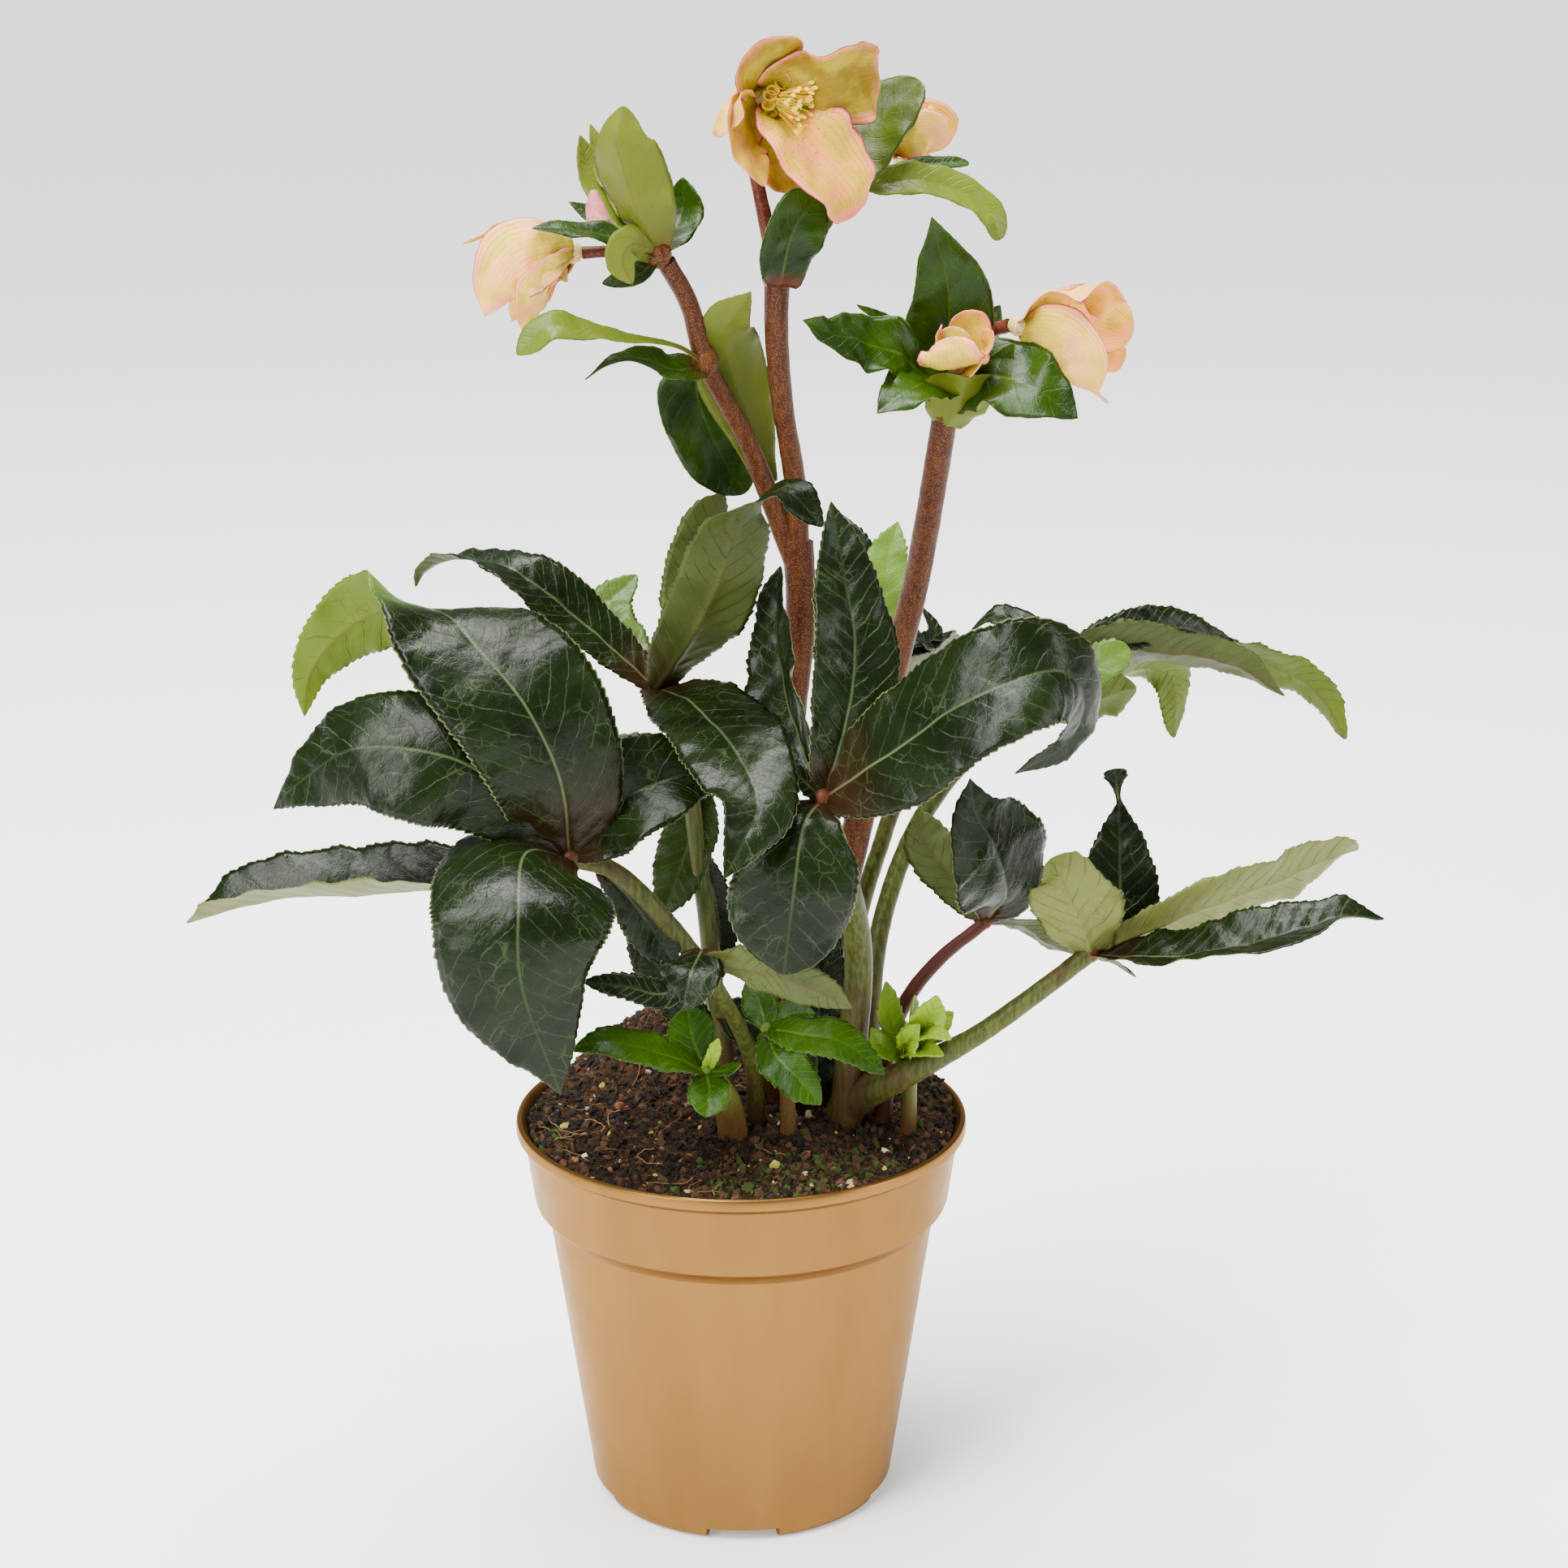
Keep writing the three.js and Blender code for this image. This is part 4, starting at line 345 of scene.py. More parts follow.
BRACT = dict(PLAIN, foot=4, fold=12, frill=0.6, pucker=0.08, groove=0.2, keel=0.25, red=0.7, tooth=0.12)
SEPAL = dict(PLAIN, widest=0.6, blunt=1.4, foot=3, fold=4, arch=-0.012, wave=0.9, frill=0.7, crumple=1.3,
             pucker=0, groove=0.1, keel=0.2, spread=1.1, red=1, tooth=0, pitch=3.2)
WIDE_BLADE = 12  # half width in mm from which a leaf's blade has its full number of columns
BRACT_THICK, NECK_RADIUS = 0.5, 3.4
# The soil: its level, how it rises to the wall, the mound round each stalk, its rings as (first, end, step)
# and the last one, and where crumbs can lie: above a height, thinning out over the last way to the wall.
SOIL = dict(level=128.3, rise=1.6, rise_from=52, rise_over=18, mound=2.2, mound_spread=8, sides=140,
            rings=(1.5, 69.5, 1.7), edge=70.3, crumbs_above=126.9, crumbs_within=71.5, crumbs_fade=3)
# Its heaps as (height, x, y, spread), its wall down to its foot as (radius, height), its patches of moss as
# (x, y, radius), and its dead roots.
HEAPS = ((24, -26, 44, 24), (7, 58, 20, 17), (7, 6, -8, 34))
ROOTS = [leg["path"][0] for leg, _ in (*LEAVES.values(), *SHOOTS.values())]
SOIL_WALL = ((70.4, 126.4), (67.3, 104.1), (62.7, 98.9), (50, 9))
MOSS = ((0, -55, 16), (26, -50, 15), (54, 5, 12), (-66, -18, 9), (40, -38, 12))
FIBRES = dict(count=90, start_within=66, end_within=70, step=1.8)
# The pot's underside from its middle, its outer wall up and its inner wall back down, as (radius, height).
POT_OUTLINE = (
    (43.5, 5), (44.5, 4.5), (45.4, 0.8), (46.2, 0),
    (48.1, 0), (49.2, 0.5), (50.4, 2.2), (50.9, 4), (51.3, 6.9), (64.6, 98.7), (65.3, 99.8), (67.8, 102.4),
    (68.9, 103.4), (69.3, 104.6), (72.3, 125.6), (72.9, 126.6), (74.4, 127.6), (75, 128.4), (75, 130.8),
    (74.7, 131.6), (74.1, 132),
    (73.2, 131.9), (72.4, 131.2), (71.6, 129.6), (70.8, 126.6), (67.7, 104.3), (63.1, 99.3), (50.2, 8),
    (46, 6.5))
POT_FLOOR = (5, 6.5)  # height of the floor's underside and top
NOTCHES = dict(count=5, wide=23, high=4, foot_radius=49)
DRAINS = dict(ring=40, hole=3, drill=30)
CREASE = 24  # degrees from which an edge of the pot is drawn sharp
# A bloom's heart, as (distance from its axis, distance forward) in mm.
CARPEL = ((1.0, 3.5), (1.9, 7), (1.7, 11), (1.3, 14.5), (2.2, 17.5))
CARPEL_RADII = (1.1, 1.5, 0.9, 0.45, 0.35)
NECTARY_FOOT, NECTARY_MOUTH, NECTARY_LONG = (2.2, 4.2), (4.6, 8.0), 4.0
# A stamen, with how much further out it is where it leans most, and how much further back its tip then is.
STAMEN_FOOT, STAMEN_MIDDLE, STAMEN_TIP, STAMEN_DROOP = (1.6, 0, 4), (2.0, 1.6, 9), (2.2, 4.6, 17.5), 4
# A nectary's funnel, one unit long, as (radius, height), from its foot round its lip and back inside.
CUP = ((0.10, 0), (0.2, 0.12), (0.28, 0.4), (0.42, 0.75), (0.55, 1.0), (0.48, 1.0), (0.36, 0.78), (0.2, 0.5))


def linear(code):
    """An sRGB hex colour as the linear red, green, blue and alpha that Blender's sockets hold."""
    parts = [int(code[i : i + 2], 16) / 255 for i in (1, 3, 5)]
    return [p / 12.92 if p <= 0.04045 else ((p + 0.055) / 1.055) ** 2.4 for p in parts] + [1.0]


def colour(code, name, description):
    return FloatVectorProperty(name=name, description=description, subtype="COLOR", size=4, min=0, max=1,
                               default=linear(code))


def length(mm, name, description):
    return FloatProperty(name=name, description=description, default=mm * MM, min=0, unit="LENGTH")


# ---------- curves and blades ----------
def unit(v):
    return v / np.maximum(np.linalg.norm(v, axis=-1, keepdims=True), 1e-12)


def curve_through(points, s):
    """Places and directions at the shares s of a smooth curve through the points, and the curve's length."""
    p = np.array(points, float)
    p = np.vstack([2 * p[0] - p[1], p, 2 * p[-1] - p[-2]])
    spans = len(p) - 3

    def at(t):
        x = np.clip(t, 0, 1) * spans
        i = np.minimum(x.astype(int), spans - 1)
        w = (x - i)[:, None]
        a, b = (p[i + 2] - p[i]) / 2, (p[i + 3] - p[i + 1]) / 2
        gap = p[i + 2] - p[i + 1]
        return p[i + 1] + a * w + (3 * gap - 2 * a - b) * w**2 + (a + b - 2 * gap) * w**3

    grid = np.linspace(0, 1, 401)
    run = np.concatenate([[0], np.cumsum(np.linalg.norm(np.diff(at(grid), axis=0), axis=1))])
    t = np.interp(np.asarray(s) * run[-1], run, grid)
    return at(t), unit(at(t + 0.004) - at(t - 0.004)), run[-1]


def facing(face, s, ahead):
    """The upper side's direction along a rib, square to it and without kinks at the listed entries."""
    f = unit(np.atleast_2d(np.array(face, float)))
    x = np.asarray(s) * (len(f) - 1)
    up = 0
    for shift in (-0.35, -0.15, 0.15, 0.35):
        up = up + np.stack([np.interp(x + shift, np.arange(len(f)), f[:, k]) for k in range(3)], 1)
    return unit(up - ahead * np.sum(up * ahead, axis=1, keepdims=True))


def half_width(look, s):
    """Half a blade's width in mm: a swell that is widest at its place, on a foot that fades to the tip."""
    p, q = look["blunt"] * look["widest"], look["blunt"] * (1 - look["widest"])
    s = np.clip(s, 0, 1)
    swell = s**p * (1 - s) ** q / (look["widest"]**p * (1 - look["widest"]) ** q)
    return look["foot"] * (1 - s) * (1 - swell) + look["half"] * swell


def vein_spacing(look):
    """The side veins' distance in mm: wider on a wide blade."""
    return np.clip(look["half"] * 0.42, 3, 8)


def tooth_rows(run, pitch):
    """Rows along a blade, three to a tooth, and how far each stands out. Teeth differ in size."""
    teeth = max(6, round(run / pitch))
    s = ((np.arange(teeth)[:, None] + np.array([0, 0.55, 0.86])) / teeth).ravel()
    big = 0.55 + 0.9 * np.random.default_rng(teeth).random(teeth)
    out = (big[:, None] * np.array([0.0, 0.7, 1.0])).ravel()
    return np.append(s, 1.0), np.append(out, 0.0)


def frill(look, mm, c, reach, seed):
    """Small waves that run along the edges, out of step on the two sides."""
    turn = seed * 40 + 2 * (c > 0)
    waves = np.sin(mm / 2.6 + turn) + 0.6 * np.sin(mm / 1.45 + 2 * turn)
    return look["frill"] * np.minimum(1, reach / 8) * np.abs(c) ** 3 * waves


def crumple(look, a, mm, reach, seed):
    """Broad uneven swells that keep a blade from lying flat."""
    size = look["crumple"] * np.minimum(1, reach / 9) * np.minimum(1, mm / 12)
    wide = max(6, look["half"] * 0.55)
    a, mm = a / wide, mm / wide
    one = np.sin(a * 1.7 + mm * 0.9 + 30 * seed) * np.sin(mm * 1.3 - a + 17 * seed)
    two = np.sin(a * 3.1 - mm * 1.9 + 11 * seed) * np.sin(mm * 2.7 + 5 * seed)
    return size * (one + 0.45 * two)


def pucker(look, phase, c, reach):
    """The skin sinks along its side veins and bulges between them."""
    d = np.abs(phase - np.round(phase)) * vein_spacing(look)
    depth = look["pucker"] * np.minimum(1, reach / 10)
    return depth * (0.4 - np.exp(-((d / 0.9) ** 2))) * np.clip(np.abs(c) * 6, 0, 1) * (1 - c**6)


def blade_surface(look, s, c, out, seed):
    """The middle surface of a blade. Each point's distances in mm from the midrib and along it, and its place
    between two side veins."""
    at, ahead, run = curve_through(look["rib"], s)
    up = facing(look["face"], s, ahead)
    side = np.cross(ahead, up)
    s, out = s[:, None], out[:, None]
    reach = half_width(look, s)
    edge = np.clip((np.abs(c) - 0.75) / 0.25, 0, 1) ** 2
    uneven = 1 + 0.05 * np.sin(9 * s + 20 * seed + 2.1 * (c > 0)) * np.sin(np.pi * s)
    grow = uneven + (out - 0.5) * edge * np.minimum(look["tooth"], 0.12 * reach) / np.maximum(reach, 1)
    a, mm = c * reach * grow, s * run
    phase = (mm - 0.85 * np.abs(a) - 0.012 * a * a) / vein_spacing(look) + 0.5 * (c > 0) + seed
    tilt = math.radians(look["fold"])
    rounded = np.sqrt(a * a + 1.2) - math.sqrt(1.2)
    curl = look["curl"] * np.abs(c) ** 5 * np.minimum(1, reach / 6)
    wave = curl + look["wave"] * c * c * np.sin(look["ripples"] * 2 * np.pi * s + c)
    lift = rounded * math.sin(tilt) - look["arch"] * a * a + wave * np.minimum(1, reach / 12)
    lift = lift + frill(look, mm, c, reach, seed) + pucker(look, phase, c, reach)
    lift = lift + crumple(look, a, mm, reach, seed)
    place = at[:, None] + side[:, None] * (a * math.cos(tilt))[..., None] + up[:, None] * lift[..., None]
    return place, a, mm, phase


def blade_skins(look, thick, across, seed):
    """A blade's two sides as grids of points, and each point's nine values for its finishes."""
    s, out = tooth_rows(curve_through(look["rib"], [0, 1])[2], look["pitch"])
    steps = (np.arange(across + 1) / across) ** look["spread"]
    c = np.concatenate([-steps[:0:-1], steps])[None, :]
    place, a, mm, phase = blade_surface(look, s, c, out, seed)
    normal = unit(np.cross(np.gradient(place, axis=1), np.gradient(place, axis=0)))
    s = s[:, None]
    skin = thick / 2 * np.sqrt(1 - c**8)
    groove = look["groove"] * (1.2 - s) * np.exp(-((a / 0.8) ** 2))
    keel = look["keel"] * (1.15 - s) * np.exp(-((a / 1.1) ** 2))
    fresh = look["fresh"] + look["fresh_tip"] * np.clip((s - look["fresh_from"]) / 0.15, 0, 1)
    facts = np.broadcast_arrays(c, s, seed, a, mm, phase, fresh, look["red"], vein_spacing(look))
    upper, under = place + normal * (skin - groove)[..., None], place - normal * (skin + keel)[..., None]
    return upper, under, np.stack(facts, -1)


def sheet(name, blades, form, thick, finishes, columns, seeds):
    """Blades of this form as one mesh: closed skins in an upper and an under finish, with the finishes'
    values. columns are those of a wide and a narrow blade, seeds the step and the first of their seeds."""
    points, values, faces, finish, count = [], [], [], [], 0
    for k, look in enumerate(blades):
        top, under, facts = blade_skins({**form, **look}, thick, columns[look["half"] < WIDE_BLADE],
                                        (k * seeds[0] + seeds[1]) % 1)
        rows, cols = top.shape[0] - 1, top.shape[1]
        upper = count + np.arange(rows * cols).reshape(rows, cols)
        tip = count + rows * cols
        lower = upper.copy()
        lower[:, 1:-1] = tip + 1 + np.arange(rows * (cols - 2)).reshape(rows, cols - 2)
        count = tip + 1 + rows * (cols - 2)
        for kept, over, below in ((points, top, under), (values, facts, facts)):
            wide = over.shape[-1]
            kept += [over[:-1].reshape(-1, wide), over[-1, :1], below[:-1, 1:-1].reshape(-1, wide)]
        for skin, slot, turn in ((upper, 0, 1), (lower, 1, -1)):
            quads = np.stack([skin[:-1, :-1], skin[:-1, 1:], skin[1:, 1:], skin[1:, :-1]], -1).reshape(-1, 4)
            ends = np.stack([skin[-1, :-1], skin[-1, 1:], np.full(cols - 1, tip)], -1)
            faces += [f[::turn] for f in quads.tolist() + ends.tolist()]
            finish += [slot] * (len(quads) + len(ends))
        for j in range(cols - 1):
            ring = [upper[0, j + 1], upper[0, j], lower[0, j], lower[0, j + 1]]
            faces.append(list(dict.fromkeys(int(v) for v in ring)))
            finish.append(1)
    mesh = bpy.data.meshes.new(name)
    mesh.from_pydata((np.concatenate(points) * MM).tolist(), [], faces)
    for material in finishes:
        mesh.materials.append(skin_named(material))
    mesh.polygons.foreach_set("material_index", finish)
    mesh.shade_smooth()
    values = np.concatenate(values)
    for k, key in enumerate(("blade", "skin", "tone")):
        mark(mesh, key, values[:, 3 * k : 3 * k + 3])
    return new_object(name, mesh)


def mark(mesh, name, values):
    """Stores a number or a vector at each point, for node trees and finishes to read."""
    values = np.asarray(values, np.float32)
    kind, field = ("FLOAT", "value") if values.ndim == 1 else ("FLOAT_VECTOR", "vector")
    mesh.attributes.new(name, kind, "POINT").data.foreach_set(field, values.ravel())


def new_object(name, data):
    piece = bpy.data.objects.new(name, data)
    bpy.context.scene.collection.objects.link(piece)
    return piece


# ---------- node trees ----------
TIMES, TIMES_PLUS = dict(operation="MULTIPLY"), dict(operation="MULTIPLY_ADD")
LARGER, MINUS = dict(operation="MAXIMUM"), dict(operation="SUBTRACT")
SMOOTH = dict(interpolation_type="SMOOTHSTEP")


def add(tree, kind, inputs=(), **settings):
    """Adds one node, its kind without the words that Blender puts before it. inputs holds values, hex
    colours, sockets or other nodes, by the inputs' names or in the node's own order."""
    heads = ("GeometryNode", "ShaderNode", "FunctionNode", "")
    node = tree.nodes.new(next(head + kind for head in heads if hasattr(bpy.types, head + kind)))
    for key, value in settings.items():
        setattr(node, key, value)
    shown = [s for s in node.inputs if s.enabled]
    for key, value in inputs.items() if isinstance(inputs, dict) else enumerate(inputs):
        socket = shown[key] if isinstance(key, int) else next(s for s in shown if s.name == key)
        if isinstance(value, bpy.types.Node):
            value = next(s for s in value.outputs if s.enabled)
        if isinstance(value, bpy.types.NodeSocket):
            tree.links.new(value, socket)
        else:
            socket.default_value = linear(value) if isinstance(value, str) and value[0] == "#" else value
    return node


def new_tree(name, sockets):
    """A geometry tree with its named inputs, and these inputs to link from."""
    tree = bpy.data.node_groups.new(name, "GeometryNodeTree")
    tree.is_modifier = True
    for label, kind in {"Geometry": "Geometry", **sockets}.items():
        tree.interface.new_socket(label, in_out="INPUT", socket_type="NodeSocket" + kind)
    tree.interface.new_socket("Geometry", in_out="OUTPUT", socket_type="NodeSocketGeometry")
    return tree, add(tree, "NodeGroupInput").outputs


def end_tree(tree, geometry, finish=None, smooth=False):
    """Ends a geometry tree: its surface smoothed and given its finish, with its copies made real."""
    if smooth:
        geometry = add(tree, "SetShadeSmooth", {"Geometry": geometry})
    if finish is not None:
        geometry = add(tree, "SetMaterial", {"Geometry": geometry, "Material": finish})
    add(tree, "NodeGroupOutput", {"Geometry": add(tree, "RealizeInstances", {"Geometry": geometry})})
    return tree


def grown(piece, tree, values):
    """Runs a geometry tree on the piece with these inputs and keeps the result as its plain mesh."""
    modifier = piece.modifiers.new(tree.name, "NODES")
    modifier.node_group = tree
    for item in tree.interface.items_tree:
        if item.in_out == "INPUT" and item.name in values:
            modifier[item.identifier] = values[item.name]
    bpy.context.view_layer.update()
    depsgraph = bpy.context.evaluated_depsgraph_get()
    mesh = bpy.data.meshes.new_from_object(piece.evaluated_get(depsgraph), depsgraph=depsgraph)
    old = piece.data
    piece.modifiers.clear()
    piece.data = mesh
    bpy.data.meshes.remove(old)
    mesh.name = piece.name
    return piece


def stalk_tree():
    """Round stalks: each line of the mesh becomes a tube with low ridges, as thick as its own value says."""
    tree, given = new_tree("Round stalks", {"Sides": "Int", "Ridges": "Float", "Ridge size": "Float",
                                            "Finish": "Material"})
    thick = add(tree, "InputNamedAttribute", {"Name": "thick"}, data_type="FLOAT")
    tube = add(tree, "CurveToMesh", {
        "Curve": add(tree, "MeshToCurve", {"Mesh": given["Geometry"]}), "Scale": thick, "Fill Caps": True,
        "Profile Curve": add(tree, "CurvePrimitiveCircle", {"Resolution": given["Sides"], "Radius": 1})})
    grain = add(tree, "TexNoise", [add(tree, "InputPosition"), given["Ridge size"], 2])
    high = add(tree, "Math", [add(tree, "Math", [grain, 0.5], **MINUS), given["Ridges"]], **TIMES)
    push = add(tree, "VectorMath", [add(tree, "InputNormal"), high], operation="SCALE")
    return end_tree(tree, add(tree, "SetPosition", {"Geometry": tube, "Offset": push}), given["Finish"], True)


def parts_tree():
    """Like parts: a copy of one part on every point, with its own size and the way that it points."""
    tree, given = new_tree("Like parts", {"Part": "Object", "Long": "Float", "Finish": "Material"})
    size = add(tree, "InputNamedAttribute", {"Name": "thick"}, data_type="FLOAT")
    way = add(tree, "InputNamedAttribute", {"Name": "way"}, data_type="FLOAT_VECTOR")
    tall = add(tree, "Math", [size, given["Long"]], **TIMES)
    copies = add(tree, "InstanceOnPoints", {
        "Points": add(tree, "MeshToPoints", {"Mesh": given["Geometry"]}),
        "Instance": add(tree, "ObjectInfo", {"Object": given["Part"]}).outputs["Geometry"],
        "Rotation": add(tree, "AlignRotationToVector", {"Vector": way}, axis="Z"),
        "Scale": add(tree, "CombineXYZ", [size, size, tall])})
    return end_tree(tree, add(tree, "RealizeInstances", {"Geometry": copies}), given["Finish"], True)


def crumb_tree():
    """Peat: the ground is roughened by 4 mm lumps, and broken crumbs of mixed sizes lie all over its top."""
    tree, given = new_tree("Peat crumbs", {
        "Crumbs": "Float", "Smallest": "Float", "Largest": "Float", "Roughness": "Float", "Seed": "Int",
        "Ground": "Material", "Crumb": "Material"})
    top = add(tree, "InputNamedAttribute", {"Name": "top"}, data_type="FLOAT")
    place = add(tree, "InputPosition")
    lump = add(tree, "TexNoise", [place, 260, 6, 0.62])
    high = add(tree, "Math", [add(tree, "Math", [lump, 0.5], **MINUS), given["Roughness"]], **TIMES)
    offset = add(tree, "CombineXYZ", {"Z": add(tree, "Math", [high, top], **TIMES)})
    ground = add(tree, "SetPosition", {"Geometry": given["Geometry"], "Offset": offset})
    spots = add(tree, "DistributePointsOnFaces", {
        "Mesh": ground, "Selection": top, "Density": given["Crumbs"], "Seed": given["Seed"]})
    # Small crumbs are many and large ones few.
    skew = add(tree, "Math", [add(tree, "RandomValue", {"Seed": given["Seed"]}), 3.5], operation="POWER")
    size = add(tree, "MapRange", {"Value": skew, "To Min": given["Smallest"], "To Max": given["Largest"]})
    squeeze, spin = (add(tree, "RandomValue", {"Min": low, "Max": high}, data_type="FLOAT_VECTOR")
                     for low, high in (((0.5, 0.5, 0.3), (1.4, 1.1, 0.9)), ((0, 0, 0), (6.28, 6.28, 6.28))))
    crumbs = add(tree, "InstanceOnPoints", {
        "Points": spots, "Instance": add(tree, "MeshIcoSphere", {"Radius": 1, "Subdivisions": 1}),
        "Rotation": spin, "Scale": add(tree, "VectorMath", [squeeze, size], operation="SCALE")})
    pick = add(tree, "RandomValue", {"Seed": 5})
    toned = add(tree, "StoreNamedAttribute", {"Geometry": crumbs, "Name": "pick", "Value": pick},
                data_type="FLOAT", domain="INSTANCE")
    dent = add(tree, "TexNoise", [place, 900, 1]).outputs["Color"]
    dents = add(tree, "VectorMath", [add(tree, "VectorMath", [dent, (0.5, 0.5, 0.5)], **MINUS), 2.2 * MM],
                operation="SCALE")
    broken = add(tree, "SetPosition", {"Geometry": add(tree, "RealizeInstances", {"Geometry": toned}),
                                       "Offset": dents})
    both = add(tree, "JoinGeometry")
    for part, finish in ((ground, "Ground"), (broken, "Crumb")):
        part = add(tree, "SetMaterial", {"Geometry": part, "Material": given[finish]})
        tree.links.new(part.outputs[0], both.inputs[0])
    return end_tree(tree, both)


def drain_tree():
    """Drain holes: a ring of round holes, one over each notch, drilled through the pot's floor."""
    tree, given = new_tree("Drain holes", {"Holes": "Int", "Ring": "Float", "Hole": "Float", "Drill": "Float",
                                           "Finish": "Material"})
    ring = add(tree, "MeshCircle", {"Vertices": given["Holes"], "Radius": given["Ring"]})
    turned = add(tree, "Transform", {"Geometry": ring, "Rotation": (0, 0, -math.pi / 2)})
    drill = add(tree, "MeshCylinder", {"Vertices": 24, "Radius": given["Hole"], "Depth": given["Drill"]})
    drills = add(tree, "InstanceOnPoints", {"Points": turned, "Instance": drill})
    cut = add(tree, "MeshBoolean", {
        "Mesh 1": given["Geometry"], "Mesh 2": add(tree, "RealizeInstances", {"Geometry": drills})},
        operation="DIFFERENCE")
    return end_tree(tree, cut, given["Finish"])


# ---------- stalks and small parts ----------
def stalk_line(path, radii, step=2.0, red=(0, 0)):
    """Points along a stalk, its radius there, and how red it is there."""
    s = np.linspace(0, 1, max(8, round(curve_through(path, [0, 1])[2] / step)))
    along = [np.interp(s, np.linspace(0, 1, len(v)), v) for v in (radii, red)]
    return curve_through(path, s)[0], along[0], np.stack([along[1], s, 0 * s], 1)


def tubes(name, lines, material, sides=16, ridges=0.0, ridge_mm=2.0):
    """Round stalks along open lines: each is its points in mm, its radii in mm and its tone."""
    points, edges, thick, tone = [], [], [], []
    for place, radius, hue in lines:
        edges += [(len(points) + i, len(points) + i + 1) for i in range(len(place) - 1)]
        points += (np.asarray(place) * MM).tolist()
        thick += (np.asarray(radius) * MM).tolist()
        tone += np.broadcast_to(hue, (len(place), 3)).tolist()
    mesh = bpy.data.meshes.new(name)
    mesh.from_pydata(points, edges, [])
    mark(mesh, "thick", thick)
    mark(mesh, "tone", tone)
    tree = bpy.data.node_groups.get("Round stalks") or stalk_tree()
    return grown(new_object(name, mesh), tree, {
        "Sides": sides, "Ridges": ridges * MM, "Ridge size": 1 / (ridge_mm * MM), "Finish": material})


def ringed(name, points, count, poles=True, flipped=False, unit_length=MM):
    """A closed skin over rings of count points, the lowest first. Its ends run to two poles, which are the
    last points, or are flat."""
    last = (len(points) // count - 1) * count
    around = [(k, (k + 1) % count) for k in range(count)]
    faces = [(i + k, i + n, i + count + n, i + count + k) for i in range(0, last, count) for k, n in around]
    if poles:
        faces += [(n, k, len(points) - 2) for k, n in around]
        faces += [(last + k, last + n, len(points) - 1) for k, n in around]
    else:
        faces += [tuple(range(count - 1, -1, -1)), tuple(range(last, last + count))]
    if flipped:
        faces = [(f[1], f[0], f[2]) if len(f) == 3 else (f[0], *f[:0:-1]) for f in faces]
    mesh = bpy.data.meshes.new(name)
    mesh.from_pydata((np.array(points) * unit_length).tolist(), [], faces)
    return mesh


def circle(count):
    return [k / count * 2 * math.pi for k in range(count)]


def ball_part(rings=6, sides=10):
    """A round ball of radius 1 with its poles on Z."""
    rows = [k / rings * math.pi for k in range(1, rings)]
    points = [(math.sin(r) * math.cos(a), math.sin(r) * math.sin(a), -math.cos(r))
              for r in rows for a in circle(sides)]
    return ringed("ball_part", points + [(0, 0, -1), (0, 0, 1)], sides, unit_length=1)


def cup_part(sides=10):
    """A nectary: a short curved funnel, hollow at its wide end, one unit long."""
    points = [(r * math.cos(a), r * math.sin(a) * 0.8, z - 0.12 * (r * math.sin(a))) for r, z in CUP
              for a in circle(sides)]
    return ringed("cup_part", points, sides, poles=False, unit_length=1)


def placed_parts(name, points, lengths, ways, part, material, long=1.0):
    """A copy of the part on each point, as long as its length in mm, with its +Z along its way."""
    mesh = bpy.data.meshes.new(name)
    mesh.from_pydata((np.asarray(points) * MM).tolist(), [], [])
    mark(mesh, "thick", np.array(lengths, np.float32) * MM)
    mark(mesh, "way", ways)
    source = new_object("part", part)
    tree = bpy.data.node_groups.get("Like parts") or parts_tree()
    piece = grown(new_object(name, mesh), tree, {"Part": source, "Long": long, "Finish": material})
    bpy.data.objects.remove(source)
    return piece


def bead(name, at, size, way, material, long):
    """One ball at a place, stretched along its way."""
    return placed_parts(name, [at], [size], [way], ball_part(), material, long)


def joined(pieces):
    """Joins pieces into the first one."""
    with bpy.context.temp_override(active_object=pieces[0], selected_editable_objects=pieces):
        bpy.ops.object.join()
    return pieces[0]


# ---------- finishes ----------
def finish(name):
    """An empty material and its node tree."""
    material = bpy.data.materials.new(name)
    material.use_nodes = True
    material.node_tree.nodes.clear()
    return material, material.node_tree


def shaded(material, inputs):
    """The material with its shader, which takes patterns by link and constants on its own sockets."""
    tree = material.node_tree
    add(tree, "OutputMaterial", {"Surface": add(tree, "BsdfPrincipled", inputs)})
    return material


def coats(tree, ground, *layers):
    """A colour with others laid over it in turn, each as thick as its factor says."""
    for factor, shade in layers:
        ground = add(tree, "Mix", [factor, ground, shade], data_type="RGBA")
    return ground


def blade_facts(tree):
    """The values that every blade carries: across and along it, its place in mm, its veins, its age."""
    facts = {}
    for name, parts in (("blade", "c s seed"), ("skin", "a mm phase"), ("tone", "fresh red spacing")):
        facts[name] = add(tree, "Attribute", attribute_name=name).outputs["Vector"]
        facts.update(zip(parts.split(), add(tree, "SeparateXYZ", [facts[name]]).outputs))
    return facts


